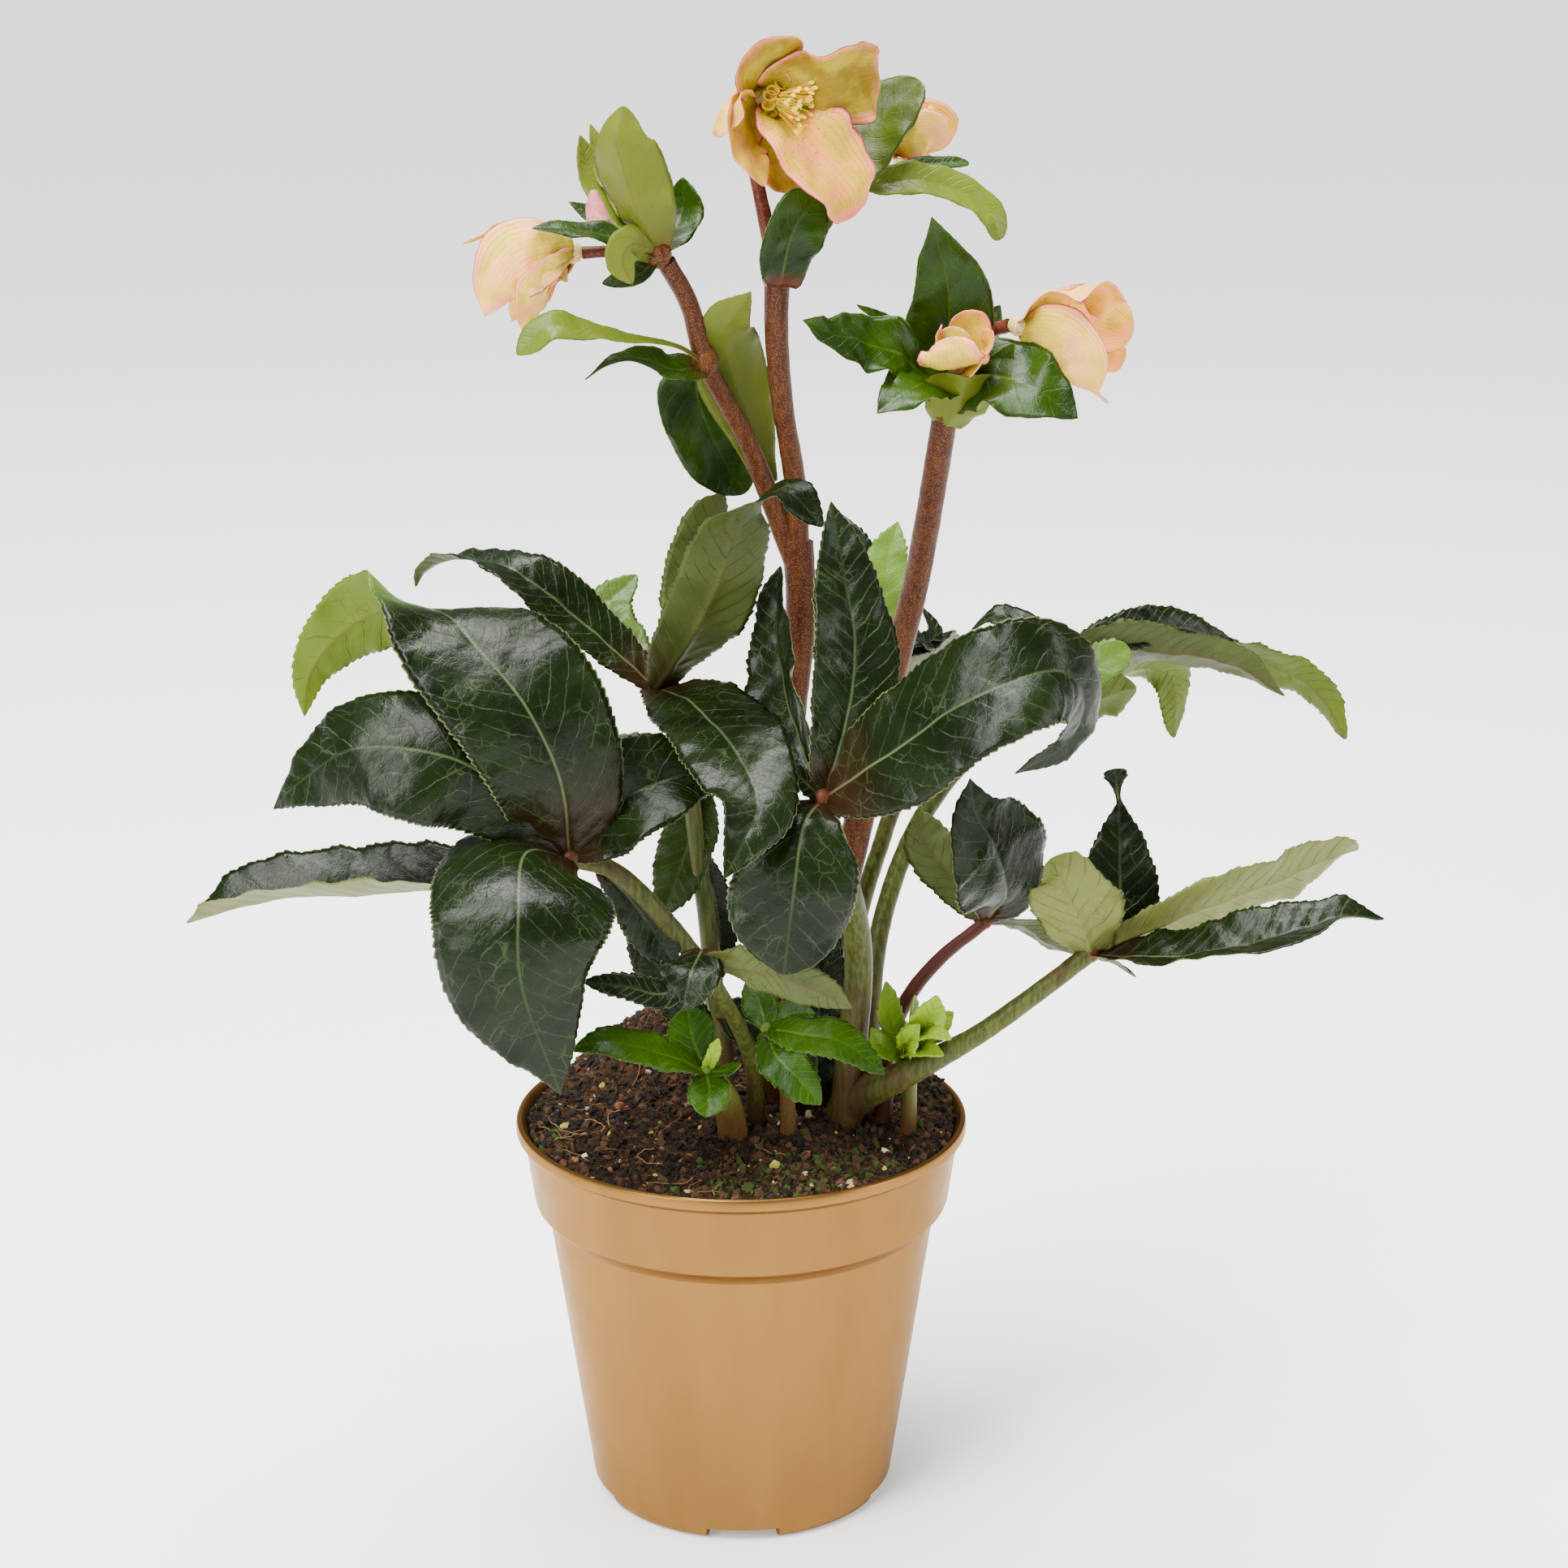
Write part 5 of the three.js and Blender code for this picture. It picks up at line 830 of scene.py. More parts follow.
def leaf_facts(tree, net_mm):
    """The same with the midrib, the side veins and the nets between them, each 1 on a vein and 0 off it."""
    facts = blade_facts(tree)
    skin = facts["skin"]
    off = add(tree, "Math", [facts["a"]], operation="ABSOLUTE")
    facts["rib"] = add(tree, "MapRange", [off, 0.65, 0.15], **SMOOTH)
    drift = add(tree, "TexNoise", [skin, 0.16, 2])
    sway = add(tree, "Math", [drift, 0.5, facts["phase"]], **TIMES_PLUS)
    apart = add(tree, "Math", [sway, 0.5], operation="PINGPONG")
    bold = add(tree, "MapRange", [add(tree, "Math", [apart, facts["spacing"]], **TIMES), 0.4, 0.08], **SMOOTH)
    facts["side"] = add(tree, "Math", [bold, add(tree, "MapRange", [drift, 0.4, 0.62, 0.15])], **TIMES)
    flat = add(tree, "VectorMath", [skin, (1, 1, 0)], **TIMES)
    lift = add(tree, "VectorMath", [add(tree, "CombineXYZ", {"Z": facts["seed"]}), 90], operation="SCALE")
    where = facts["where"] = add(tree, "VectorMath", [flat, lift], operation="ADD")
    bend = add(tree, "TexNoise", [where, 0.35, 1]).outputs["Color"]
    bent = add(tree, "VectorMath", [bend, (1.6, 1.6, 0), where], **TIMES_PLUS)
    cells = add(tree, "TexVoronoi", [bent, 1 / net_mm], feature="DISTANCE_TO_EDGE")
    seen = add(tree, "MapRange", [add(tree, "TexNoise", [where, 0.09, 3]), 0.47, 0.66])
    line = add(tree, "MapRange", [cells, 0.045, 0.008], **SMOOTH)
    facts["net"] = add(tree, "Math", [line, seen], **TIMES)
    fine = add(tree, "TexVoronoi", [bent, 2.8 / net_mm], feature="DISTANCE_TO_EDGE")
    facts["threads"] = add(tree, "MapRange", [fine, 0.14, 0], **SMOOTH)
    facts["puff"] = add(tree, "MapRange", [cells, 0, 0.42], **SMOOTH)
    return facts


def leaf_upper(name, dark, light, vein, young, gloss, puff, net_mm, ink):
    """A blade's upper side: clouded green, fresher by its age, veined, pale-rimmed and red at its foot."""
    material, tree = finish(name)
    facts = leaf_facts(tree, net_mm)
    where, s = facts["where"], facts["s"]
    cloudy = add(tree, "MapRange", [add(tree, "TexNoise", [where, 1 / 18, 3]), 0.35, 0.68])
    net = add(tree, "Math", [facts["net"], ink * 0.9], **TIMES)
    side = add(tree, "Math", [facts["side"], ink], **TIMES)
    rib = add(tree, "Math", [facts["rib"], add(tree, "MapRange", [s, 0.05, 0.75, 0.6, 0.08])], **TIMES)
    lines = add(tree, "Math", [add(tree, "Math", [net, side], **LARGER), rib], **LARGER)
    edge = add(tree, "Math", [facts["c"]], operation="ABSOLUTE")
    rim = add(tree, "MapRange", [edge, 0.965, 1, 0, 0.4], **SMOOTH)
    foot = add(tree, "MapRange", [s, 0.22, 0.03], **SMOOTH)
    blush = add(tree, "Math", [foot, add(tree, "Math", [facts["rib"], 0.6, 0.4], **TIMES_PLUS)], **TIMES)
    reddened = add(tree, "Math", [blush, facts["red"]], **TIMES)
    skin = coats(tree, dark, (cloudy, light), (facts["fresh"], young), (lines, vein), (rim, "#a4ac6c"),
                 (reddened, "#5a2620"))
    blister = add(tree, "Math", [facts["puff"], puff], **TIMES)
    sunk = add(tree, "Math", [facts["side"], -0.9 * ink, blister], **TIMES_PLUS)
    pores = add(tree, "Math", [facts["threads"], -0.03, sunk], **TIMES_PLUS)
    dust = add(tree, "TexNoise", [where, 1 / 7, 4])
    return shaded(material, {
        "Base Color": skin, "Roughness": add(tree, "MapRange", [dust, 0.3, 0.7, gloss - 0.05, gloss + 0.09]),
        "Normal": add(tree, "Bump", {"Strength": 1, "Distance": MM, "Height": pores}), "IOR": 1.45,
        "Specular IOR Level": 0.13, "Coat Weight": 0.04, "Coat Roughness": gloss})


def leaf_under(name, base, deep, vein, warm, ink):
    """A blade's underside: clouded, fresher or bleached by its age, with raised veins and a warm foot."""
    material, tree = finish(name)
    facts = leaf_facts(tree, 4.0)
    bleached = add(tree, "MapRange", [facts["fresh"], 0, -1])
    net = add(tree, "Math", [facts["net"], ink * 0.5], **TIMES)
    lines = add(tree, "Math", [net, add(tree, "Math", [facts["side"], ink], **TIMES)], **LARGER)
    foot = add(tree, "MapRange", [facts["s"], 0.02, 0.26, 0.8, 0], **SMOOTH)
    warmth = add(tree, "Math", [add(tree, "Math", [facts["rib"], 0.6], **TIMES), foot], **LARGER)
    flush = add(tree, "Math", [warmth, facts["red"]], **TIMES)
    cloud = add(tree, "TexNoise", [facts["where"], 1 / 15, 4])
    skin = coats(tree, deep, (cloud, base), (facts["fresh"], "#566608"), (bleached, "#686e34"), (lines, vein),
                 (flush, warm))
    ridge = add(tree, "Math", [facts["side"], 0.6 * ink], **TIMES)
    high = add(tree, "Math", [facts["net"], 0.3 * ink, ridge], **TIMES_PLUS)
    return shaded(material, {
        "Base Color": skin, "Roughness": 0.5, "IOR": 1.42, "Specular IOR Level": 0.25,
        "Normal": add(tree, "Bump", {"Strength": 1, "Distance": MM, "Height": high})})


def sepal_finish(name, base, middle, blush, rim, specks, shine):
    """A sepal: greenish at its foot, creamy, flushed towards its edge, with fanned veins and specks."""
    material, tree = finish(name)
    facts = blade_facts(tree)
    skin, s = facts["skin"], facts["s"]
    cloud, broad = add(tree, "TexNoise", [skin, 1 / 5, 3]), add(tree, "TexNoise", [skin, 1 / 9, 2])
    foot = add(tree, "MapRange", [add(tree, "Math", [cloud, 0.25, s], **TIMES_PLUS), 0.5, 0.2], **SMOOTH)
    ripe = add(tree, "Math", [facts["fresh"], foot], **LARGER)
    blotch = add(tree, "MapRange", [broad, 0.52, 0.38, 0, 0.6])
    dull = add(tree, "MapRange", [broad, 0.44, 0.6, 0, 0.65])
    off = add(tree, "Math", [facts["c"]], operation="ABSOLUTE")
    out = add(tree, "Math", [off, add(tree, "Math", [s, 3], operation="POWER")], **LARGER)
    spread = add(tree, "Math", [cloud, 0.75, out], **TIMES_PLUS)
    flush = add(tree, "MapRange", [spread, 1.06, 1.5, 0, 0.85], **SMOOTH)
    pinker = add(tree, "Math", [flush, facts["red"]], **TIMES)
    wander = add(tree, "Math", [cloud, 0.9], **TIMES)
    fan = add(tree, "Math", [facts["c"], 7.5, wander], **TIMES_PLUS)
    vein = add(tree, "MapRange", [add(tree, "Math", [fan, 0.5], operation="PINGPONG"), 0.13, 0.03], **SMOOTH)
    inked = add(tree, "Math", [vein, add(tree, "MapRange", [out, 0.3, 1, 0.1, 0.5])], **TIMES)
    dot = add(tree, "MapRange", [add(tree, "TexVoronoi", [skin, 1 / 1.3]), 0.16, 0.26, specks, 0], **SMOOTH)
    speck = add(tree, "Math", [dot, add(tree, "MapRange", [s, 0.25, 0.8, 1, 0.15])], **TIMES)
    lip = add(tree, "Math", [add(tree, "MapRange", [off, 0.94, 1, 0, 1.5], **SMOOTH), cloud], **TIMES)
    relief = add(tree, "Math", [vein, -0.12, cloud], **TIMES_PLUS)
    return shaded(material, {
        "Base Color": coats(tree, middle, (blotch, blush), (ripe, base), (dull, "#a89a18"), (pinker, blush),
                            (inked, rim), (speck, "#8a2f3c"), (lip, rim)),
        "Normal": add(tree, "Bump", {"Strength": 0.6, "Distance": MM, "Height": relief}),
        "Roughness": shine, "IOR": 1.4, "Specular IOR Level": 0.15, "Subsurface Weight": 0.1,
        "Subsurface Radius": (1, 0.6, 0.35), "Subsurface Scale": 1.5 * MM})


def stalk_finish(name, base, second, red, speckle, rough, dots="#4a2018", dot_mm=1.5):
    """A stalk: streaked lengthways, redder where its tone says so, with fine speckles."""
    material, tree = finish(name)
    place = add(tree, "TexCoord").outputs["Object"]
    tone = add(tree, "SeparateXYZ", [add(tree, "Attribute", attribute_name="tone").outputs["Vector"]])
    long = add(tree, "Mapping", {"Vector": place, "Scale": [1 / (mm * MM) for mm in (1.2, 1.2, 16)]})
    streak = add(tree, "TexNoise", [long, 1, 3])
    streaks = add(tree, "MapRange", [streak, 0.38, 0.62])
    cloud = add(tree, "TexNoise", [place, 1 / (9 * MM), 3])
    near = add(tree, "Math", [cloud, 0.8, tone.outputs[0]], **TIMES_PLUS)
    warm = add(tree, "MapRange", [near, 0.45, 1.25], **SMOOTH)
    spots = add(tree, "TexVoronoi", [place, 1 / (dot_mm * MM)])
    dot = add(tree, "MapRange", [spots, 0.22, 0.42, speckle, 0], **SMOOTH)
    return shaded(material, {
        "Base Color": coats(tree, base, (streaks, second), (warm, red), (dot, dots)),
        "Normal": add(tree, "Bump", {"Strength": 0.7, "Distance": 0.25 * MM, "Height": streak}),
        "Roughness": rough, "IOR": 1.42, "Specular IOR Level": 0.18, "Subsurface Weight": 0.08,
        "Subsurface Scale": 1.5 * MM})


def heart_finish(name, base, tip, rough):
    """Nectaries, stamens and carpels: one tender colour that turns to another by small patches."""
    material, tree = finish(name)
    place = add(tree, "TexCoord").outputs["Object"]
    patch = add(tree, "MapRange", [add(tree, "TexNoise", [place, 1 / (2.5 * MM), 3]), 0.35, 0.65])
    grain = add(tree, "TexNoise", [place, 1 / (0.5 * MM), 2])
    return shaded(material, {
        "Base Color": coats(tree, base, (patch, tip)), "Roughness": rough, "IOR": 1.42,
        "Specular IOR Level": 0.2, "Subsurface Weight": 0.2, "Subsurface Scale": MM,
        "Normal": add(tree, "Bump", {"Strength": 0.6, "Distance": 0.15 * MM, "Height": grain})})


def metallised_plastic(plastic, pale):
    """Polypropylene moulded with gold pigment: a satin metal look with a very faint orange peel."""
    material, tree = finish("gold_pigmented_polypropylene_moulded")
    place = add(tree, "TexCoord").outputs["Object"]
    flow = add(tree, "Mapping", {"Vector": place, "Scale": [1 / (mm * MM) for mm in (14, 14, 90)]})
    scuff = add(tree, "TexNoise", [place, 1 / (12 * MM), 5])
    peel = add(tree, "TexNoise", [place, 1 / (0.9 * MM), 1])
    return shaded(material, {
        "Base Color": coats(tree, list(plastic), (add(tree, "TexNoise", [flow, 1, 3]), list(pale))),
        "Roughness": add(tree, "MapRange", [scuff, 0.3, 0.7, 0.3, 0.38]), "Metallic": 0.92,
        "Normal": add(tree, "Bump", {"Strength": 0.35, "Distance": 0.05 * MM, "Height": peel}),
        "Specular Tint": "#ead8c4"})


def peat_finish(dark, brown):
    """Milled peat: nearly black brown, open and rough, without shine."""
    material, tree = finish("milled_peat")
    place = add(tree, "TexCoord").outputs["Object"]
    patch = add(tree, "MapRange", [add(tree, "TexNoise", [place, 1 / (5 * MM), 6]), 0.38, 0.66])
    grit = add(tree, "TexVoronoi", [place, 1 / (1.6 * MM)])
    return shaded(material, {
        "Base Color": coats(tree, list(dark), (patch, list(brown))), "Roughness": 0.95,
        "Specular IOR Level": 0.15,
        "Normal": add(tree, "Bump", {"Strength": 1, "Distance": 0.8 * MM, "Height": grit})})


def crumb_finish(dark, brown):
    """Crumbs of peat with a few bits of reddish bark, pale grains, yellow-green feed granules and moss."""
    material, tree = finish("peat_crumbs_bark_and_grains")
    pick = add(tree, "Attribute", attribute_name="pick").outputs["Fac"]
    ramp = add(tree, "ValToRGB", [pick])
    stops = ramp.color_ramp.elements
    ramp.color_ramp.interpolation = "CONSTANT"
    stops.remove(stops[1])
    stops[0].color = list(dark)
    for share, shade in ((0.55, list(brown)), (0.9, linear("#4a2c1c")), (0.965, linear("#7a4c30")),
                         (0.978, linear("#a08c68")), (0.986, linear("#9c9640")), (0.993, linear("#cdc2a4"))):
        stops.new(share).color = shade
    moss = add(tree, "Attribute", attribute_name="moss").outputs["Fac"]
    mossy = add(tree, "Math", [pick, add(tree, "Math", [moss, 0.42], **TIMES)], operation="LESS_THAN")
    grain = add(tree, "TexNoise", [add(tree, "TexCoord").outputs["Object"], 1 / (0.8 * MM), 3])
    return shaded(material, {
        "Base Color": coats(tree, ramp, (mossy, "#2c3a0c")), "Roughness": 0.8, "Specular IOR Level": 0.25,
        "Normal": add(tree, "Bump", {"Strength": 0.8, "Distance": 0.3 * MM, "Height": grain})})


def table_finish(shade):
    """An opal acrylic table whose emission is painted light: it glows a little by itself, with no lamp under
    it, which brightens the table and lights the plant a little from below. Its grain, too fine to show, is
    drawn at 3 mm.
    """
    material, tree = finish("opal_acrylic_matt_table")
    grain = add(tree, "TexNoise", [add(tree, "TexCoord").outputs["Object"], 1 / (3 * MM), 2])
    matt = add(tree, "MapRange", {"Value": grain, "To Min": 0.85, "To Max": 0.95})
    # The emission is painted light: the table glows, standing in for a lamp under it.
    return shaded(material, {"Base Color": list(shade), "Roughness": matt, "Emission Color": "#ffffff",
                             "Emission Strength": 0.3})


FINISHES = {
    # Leathery evergreen leaf, thick and waxed: blackish green with a milky gloss on its blisters.
    "old_leaf_waxy_upper_skin": (leaf_upper, dict(
        dark="#081003", light="#101b05", vein="#5c6c42", young="#62822c", gloss=0.27, puff=0.1, net_mm=5.5,
        ink=0.2)),
    # Its underside has no wax: pale matt grey-green with raised darker veins.
    "old_leaf_matt_underside": (leaf_under, dict(
        base="#444c1c", deep="#2e360e", vein="#262e0a", warm="#44241a", ink=0.4)),
    # New leaf, still soft: bright green with a pale midrib and little gloss, lighter and matt below.
    "young_leaf_soft_upper_skin": (leaf_upper, dict(
        dark="#163001", light="#2e4a03", vein="#56781a", young="#84a424", gloss=0.3, puff=0.12, net_mm=4.2,
        ink=0.2)),
    "young_leaf_soft_underside": (leaf_under, dict(
        base="#6c8c2c", deep="#4c701c", vein="#406414", warm="#8a5a3a", ink=0.2)),
    # Bract: thinner than a leaf, yellow-green and half gloss, pale and dull below.
    "bract_thin_upper_skin": (leaf_upper, dict(
        dark="#102002", light="#233a03", vein="#4a6012", young="#8f9c34", gloss=0.28, puff=0.05, net_mm=4.5,
        ink=0.14)),
    "bract_pale_underside": (leaf_under, dict(
        base="#5a6214", deep="#444e0a", vein="#3c4608", warm="#4a3212", ink=0.12)),
    # Inside of a sepal: satin, olive yellow at its foot, cream to peach, a fine pink lip.
    "sepal_satin_inner_face": (sepal_finish, dict(
        base="#7a6600", middle="#f6b430", blush="#f0846c", rim="#96203a", specks=0.8, shine=0.45)),
    # Outside: greyer and pinker, with its veins showing through.
    "sepal_chalky_outer_face": (sepal_finish, dict(
        base="#8c8218", middle="#ffcc54", blush="#f48c84", rim="#a02c48", specks=0.3, shine=0.5)),
    # Bud of shut sepals: dull pink, paler in streaks.
    "bud_closed_sepals_skin": (stalk_finish, dict(
        base="#d9a08c", second="#c77f7a", red="#b0606a", speckle=0.2, rough=0.48)),
    # Neck of a bloom: fleshy and pale, between the sepals' cream and the stalk's red.
    "bloom_neck_skin": (stalk_finish, dict(
        base="#c9b27c", second="#b9a060", red="#9a5a48", speckle=0.2, rough=0.5)),
    # Petiole: a firm ribbed stalk, olive with a red flush.
    "petiole_ribbed_skin": (stalk_finish, dict(
        base="#2e3812", second="#485020", red="#44221a", speckle=0.35, rough=0.42)),
    # Hub where the leaflets meet: the same skin, dark red.
    "leaf_hub_red_skin": (stalk_finish, dict(
        base="#4c2a1a", second="#5c3420", red="#4a1410", speckle=0.2, rough=0.42)),
    # Young stalk: smooth, tender and bright green.
    "young_stalk_skin": (stalk_finish, dict(
        base="#42541a", second="#566c28", red="#50301c", speckle=0.1, rough=0.42)),
    # Flower stem: thick, soft and round, red-brown and thickly sprinkled with fine tan speckles.
    "flower_stem_speckled_skin": (stalk_finish, dict(
        base="#3c1a0a", second="#502c12", red="#300e0a", speckle=0.4, rough=0.45, dots="#8c6230",
        dot_mm=0.6)),
    # Flower stalk: thin, dark red-brown and satin.
    "flower_stalk_red_skin": (stalk_finish, dict(
        base="#5a2a1c", second="#6e3824", red="#3c1410", speckle=0.25, rough=0.42, dots="#8a5a3c",
        dot_mm=1.2)),
    # Dead root: dry, tan to dark brown.
    "dead_root_dry_fibre": (stalk_finish, dict(
        base="#6a5236", second="#8a6c48", red="#2c1c12", speckle=0, rough=0.85)),
    # Nectary: fleshy and glossy, golden orange.
    "nectary_fleshy_skin": (heart_finish, dict(base="#8a7a02", tip="#b88602", rough=0.35)),
    # Stamen: silky thread with a mealy pollen sac.
    "filament_silky_thread": (heart_finish, dict(base="#cca804", tip="#c88802", rough=0.5)),
    "anther_mealy_sac": (heart_finish, dict(base="#ecc83c", tip="#dca828", rough=0.75)),
    # Carpel: soft downy green.
    "carpel_downy_skin": (heart_finish, dict(base="#7c9014", tip="#a4ac28", rough=0.6)),
}


def skin_named(name):
    """The finish of this name, made the first time that a piece asks for it."""
    make, values = FINISHES[name]
    return bpy.data.materials.get(name) or make(name, **values)


# ---------- sizes and colours that a user would change ----------
class PotSizes(bpy.types.PropertyGroup):
    sides: IntProperty(name="Sides", description="Flat sides round the pot", default=192, min=24)
    plastic: colour("#765428", "Plastic", "Deeper tone of the gold plastic")
    pale: colour("#866032", "Pale plastic", "Lighter tone of the gold plastic")


class SoilSizes(bpy.types.PropertyGroup):
    crumbs: FloatProperty(name="Crumbs", description="Crumbs on each square metre", default=480000, min=0)
    smallest: length(0.35, "Smallest crumb", "Radius of the smallest crumbs")
    largest: length(2.3, "Largest crumb", "Radius of the largest crumbs")
    roughness: length(4.0, "Roughness", "How far the soil's surface rises and falls")
    dark: colour("#150c06", "Dark peat", "Darkest colour of the peat")
    brown: colour("#3a2612", "Brown peat", "Brown colour of the peat")
    seed: IntProperty(name="Seed", description="Start of the random crumbs", default=3)


class LeafSizes(bpy.types.PropertyGroup):
    thick: length(0.55, "Thickness", "Thickness of an old leaf")
    pitch: length(2.8, "Tooth pitch", "Distance between two teeth of a leaf's edge")
    tooth: length(0.6, "Tooth depth", "How far a tooth stands out")
    across: IntProperty(name="Columns", description="Columns on each side of a midrib", default=11, min=3)


class StemSizes(bpy.types.PropertyGroup):
    sides: IntProperty(name="Sides", description="Sides round a stalk", default=16, min=6)
    ridges: length(0.5, "Ridges", "Height of the low ridges on a stalk")


class FlowerSizes(bpy.types.PropertyGroup):
    thick: length(0.5, "Sepal thickness", "Thickness of a sepal")
    cups: IntProperty(name="Nectaries", description="Nectaries in a bloom's ring", default=11, min=3)
    stamens: IntProperty(name="Stamens", description="Stamens in a bloom", default=52, min=3)
    anther: length(0.62, "Anther", "Radius of an anther")
    filament: length(0.22, "Filament", "Radius of a filament")


class StageSizes(bpy.types.PropertyGroup):
    lens: FloatProperty(name="Lens", description="Focal length of the camera in mm", default=76.19, min=10)
    key: FloatProperty(name="Key light", description="Power of the large key light", default=95, unit="POWER")
    day: FloatProperty(name="Daylight", description="Strength of the soft sun from above", default=5.0, min=0)
    sky: FloatProperty(name="Sky", description="Strength of the light from all round", default=0.34, min=0)
    floor: colour("#f8f8f6", "Floor", "Colour of the floor")


GROUPS = {"pot": PotSizes, "soil": SoilSizes, "leaf": LeafSizes, "stem": StemSizes, "flower": FlowerSizes,
          "stage": StageSizes}


def sizes(context, group):
    return getattr(context.scene, "hellebore_" + group)


def placed(piece, node):
    """The piece stands for this CAD node, whose part is hidden, and rides with the plant."""
    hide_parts(node)
    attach(piece, "root")


# ---------- pieces ----------
def turn_between(a, b):
    return (a - b + math.pi) % (2 * math.pi) - math.pi


def notched_turns(sides, half, middles):
    """The pot's corners round its axis: evenly spread, with a close pair at each side of every notch."""
    clear, slip = 0.02, 0.006
    turns = [t for t in circle(sides) if all(abs(abs(turn_between(t, m)) - half) > clear for m in middles)]
    turns += [m + side * (half + off) for m in middles for side in (-1, 1) for off in (-slip, slip)]
    return sorted(t % (2 * math.pi) for t in turns)


class HELLEBORE_OT_pot(bpy.types.Operator):
    """Make the gold nursery pot"""
    bl_idname = "hellebore.pot"
    bl_label = "Pot"

    def execute(self, context):
        size = sizes(context, "pot")
        half = math.asin(NOTCHES["wide"] / 2 / NOTCHES["foot_radius"])
        middles = [(k / NOTCHES["count"] - 0.25) * 2 * math.pi for k in range(NOTCHES["count"])]
        turns = notched_turns(size.sides, half, middles)
        points = [(r * math.cos(a), r * math.sin(a), z) for r, z in POT_OUTLINE for a in turns]
        mesh = ringed("pot_shell", points + [(0, 0, z) for z in POT_FLOOR], len(turns))
        gold = metallised_plastic(size.plastic, size.pale)
        mesh.materials.append(gold)
        mesh.shade_smooth()
        top = NOTCHES["high"] * MM
        for v in mesh.vertices:
            turn = math.atan2(v.co.y, v.co.x)
            if v.co.z < top and any(abs(turn_between(turn, m)) < half for m in middles):
                v.co.z = top + v.co.z * 0.2  # a notch's roof keeps a little of the foot's rounding
        pot = grown(new_object("pot_shell", mesh), drain_tree(), {
            "Holes": NOTCHES["count"], "Ring": DRAINS["ring"] * MM, "Hole": DRAINS["hole"] * MM,
            "Drill": DRAINS["drill"] * MM, "Finish": gold})
        pot.data.set_sharp_from_angle(angle=math.radians(CREASE))
        placed(pot, "pot")
        return {"FINISHED"}


def soil_height(x, y):
    """The soil's level in mm: a low rise to the wall, heaps, and a little mound round every stalk."""
    rise = np.clip((np.hypot(x, y) - SOIL["rise_from"]) / SOIL["rise_over"], 0, 1) ** 2
    high = SOIL["level"] + SOIL["rise"] * rise
    for peak, hx, hy, spread in HEAPS:
        high = high + peak * np.exp(-((x - hx) ** 2 + (y - hy) ** 2) / spread**2)
    for px, py, _ in ROOTS:
        high = high + SOIL["mound"] * np.exp(-((x - px) ** 2 + (y - py) ** 2) / SOIL["mound_spread"] ** 2)
    return high


def fibre_line(draw):
    """A thin dead root that lies in a loose curve on the soil."""
    turn, far = draw.random() * 2 * np.pi, FIBRES["start_within"] * math.sqrt(draw.random())
    way, bend = draw.random() * 2 * np.pi, (draw.random() - 0.5) * 0.5
    points = [(far * math.cos(turn), far * math.sin(turn))]
    for _ in range(int(5 + draw.random() * 9)):
        way += bend + (draw.random() - 0.5) * 0.8
        x, y = points[-1]
        points.append((x + FIBRES["step"] * math.cos(way), y + FIBRES["step"] * math.sin(way)))
    points = [(x, y) for x, y in points if math.hypot(x, y) < FIBRES["end_within"]] or [(0, 0)]
    lift = draw.random(len(points)) * 1.2 + 1.0
    place = [(x, y, float(soil_height(x, y)) + up) for (x, y), up in zip(points, lift)]
    return place, np.full(len(place), 0.12 + 0.16 * draw.random()), (draw.random() * 1.5, 0, 0)


class HELLEBORE_OT_soil(bpy.types.Operator):
    """Make the peat with its crumbs and dead roots"""
    bl_idname = "hellebore.soil"
    bl_label = "Soil"

    def execute(self, context):
        size = sizes(context, "soil")
        turns = np.array(circle(SOIL["sides"]))
        rings = np.append(np.arange(*SOIL["rings"]), SOIL["edge"])[:, None]
        x, y = rings * np.cos(turns), rings * np.sin(turns)
        top = np.stack([x, y, soil_height(x, y)], -1).reshape(-1, 3)
        wall = [(r * math.cos(a), r * math.sin(a), z) for r, z in SOIL_WALL for a in turns]
        points = np.concatenate([top, wall, [(0, 0, soil_height(0, 0)), (0, 0, SOIL_WALL[-1][1])]])
        mesh = ringed("peat", points, len(turns), flipped=True)
        mesh.shade_smooth()
        reach = np.hypot(points[:, 0], points[:, 1])
        free = np.clip((SOIL["crumbs_within"] - reach) / SOIL["crumbs_fade"], 0, 1)
        mark(mesh, "top", (points[:, 2] > SOIL["crumbs_above"]) * free)
        mark(mesh, "moss", sum(np.exp(-((points[:, 0] - mx) ** 2 + (points[:, 1] - my) ** 2) / wide**2)
                               for mx, my, wide in MOSS))
        peat = grown(new_object("peat", mesh), crumb_tree(), {
            "Crumbs": size.crumbs, "Smallest": size.smallest, "Largest": size.largest,
            "Roughness": size.roughness, "Seed": size.seed, "Ground": peat_finish(size.dark, size.brown),
            "Crumb": crumb_finish(size.dark, size.brown)})
        draw = np.random.default_rng(5)
        lines = [line for line in (fibre_line(draw) for _ in range(FIBRES["count"])) if len(line[0]) > 3]
        roots = tubes("peat_fibres", lines, skin_named("dead_root_dry_fibre"), 4)
        placed(joined([peat, roots]), "potting_soil")
        return {"FINISHED"}


def from_hub(blades, hub):
    """The blades with whole midribs, from the hub or from their own start."""
    return [dict(look, rib=(look.get("start", hub), *look["rib"])) for look in blades]


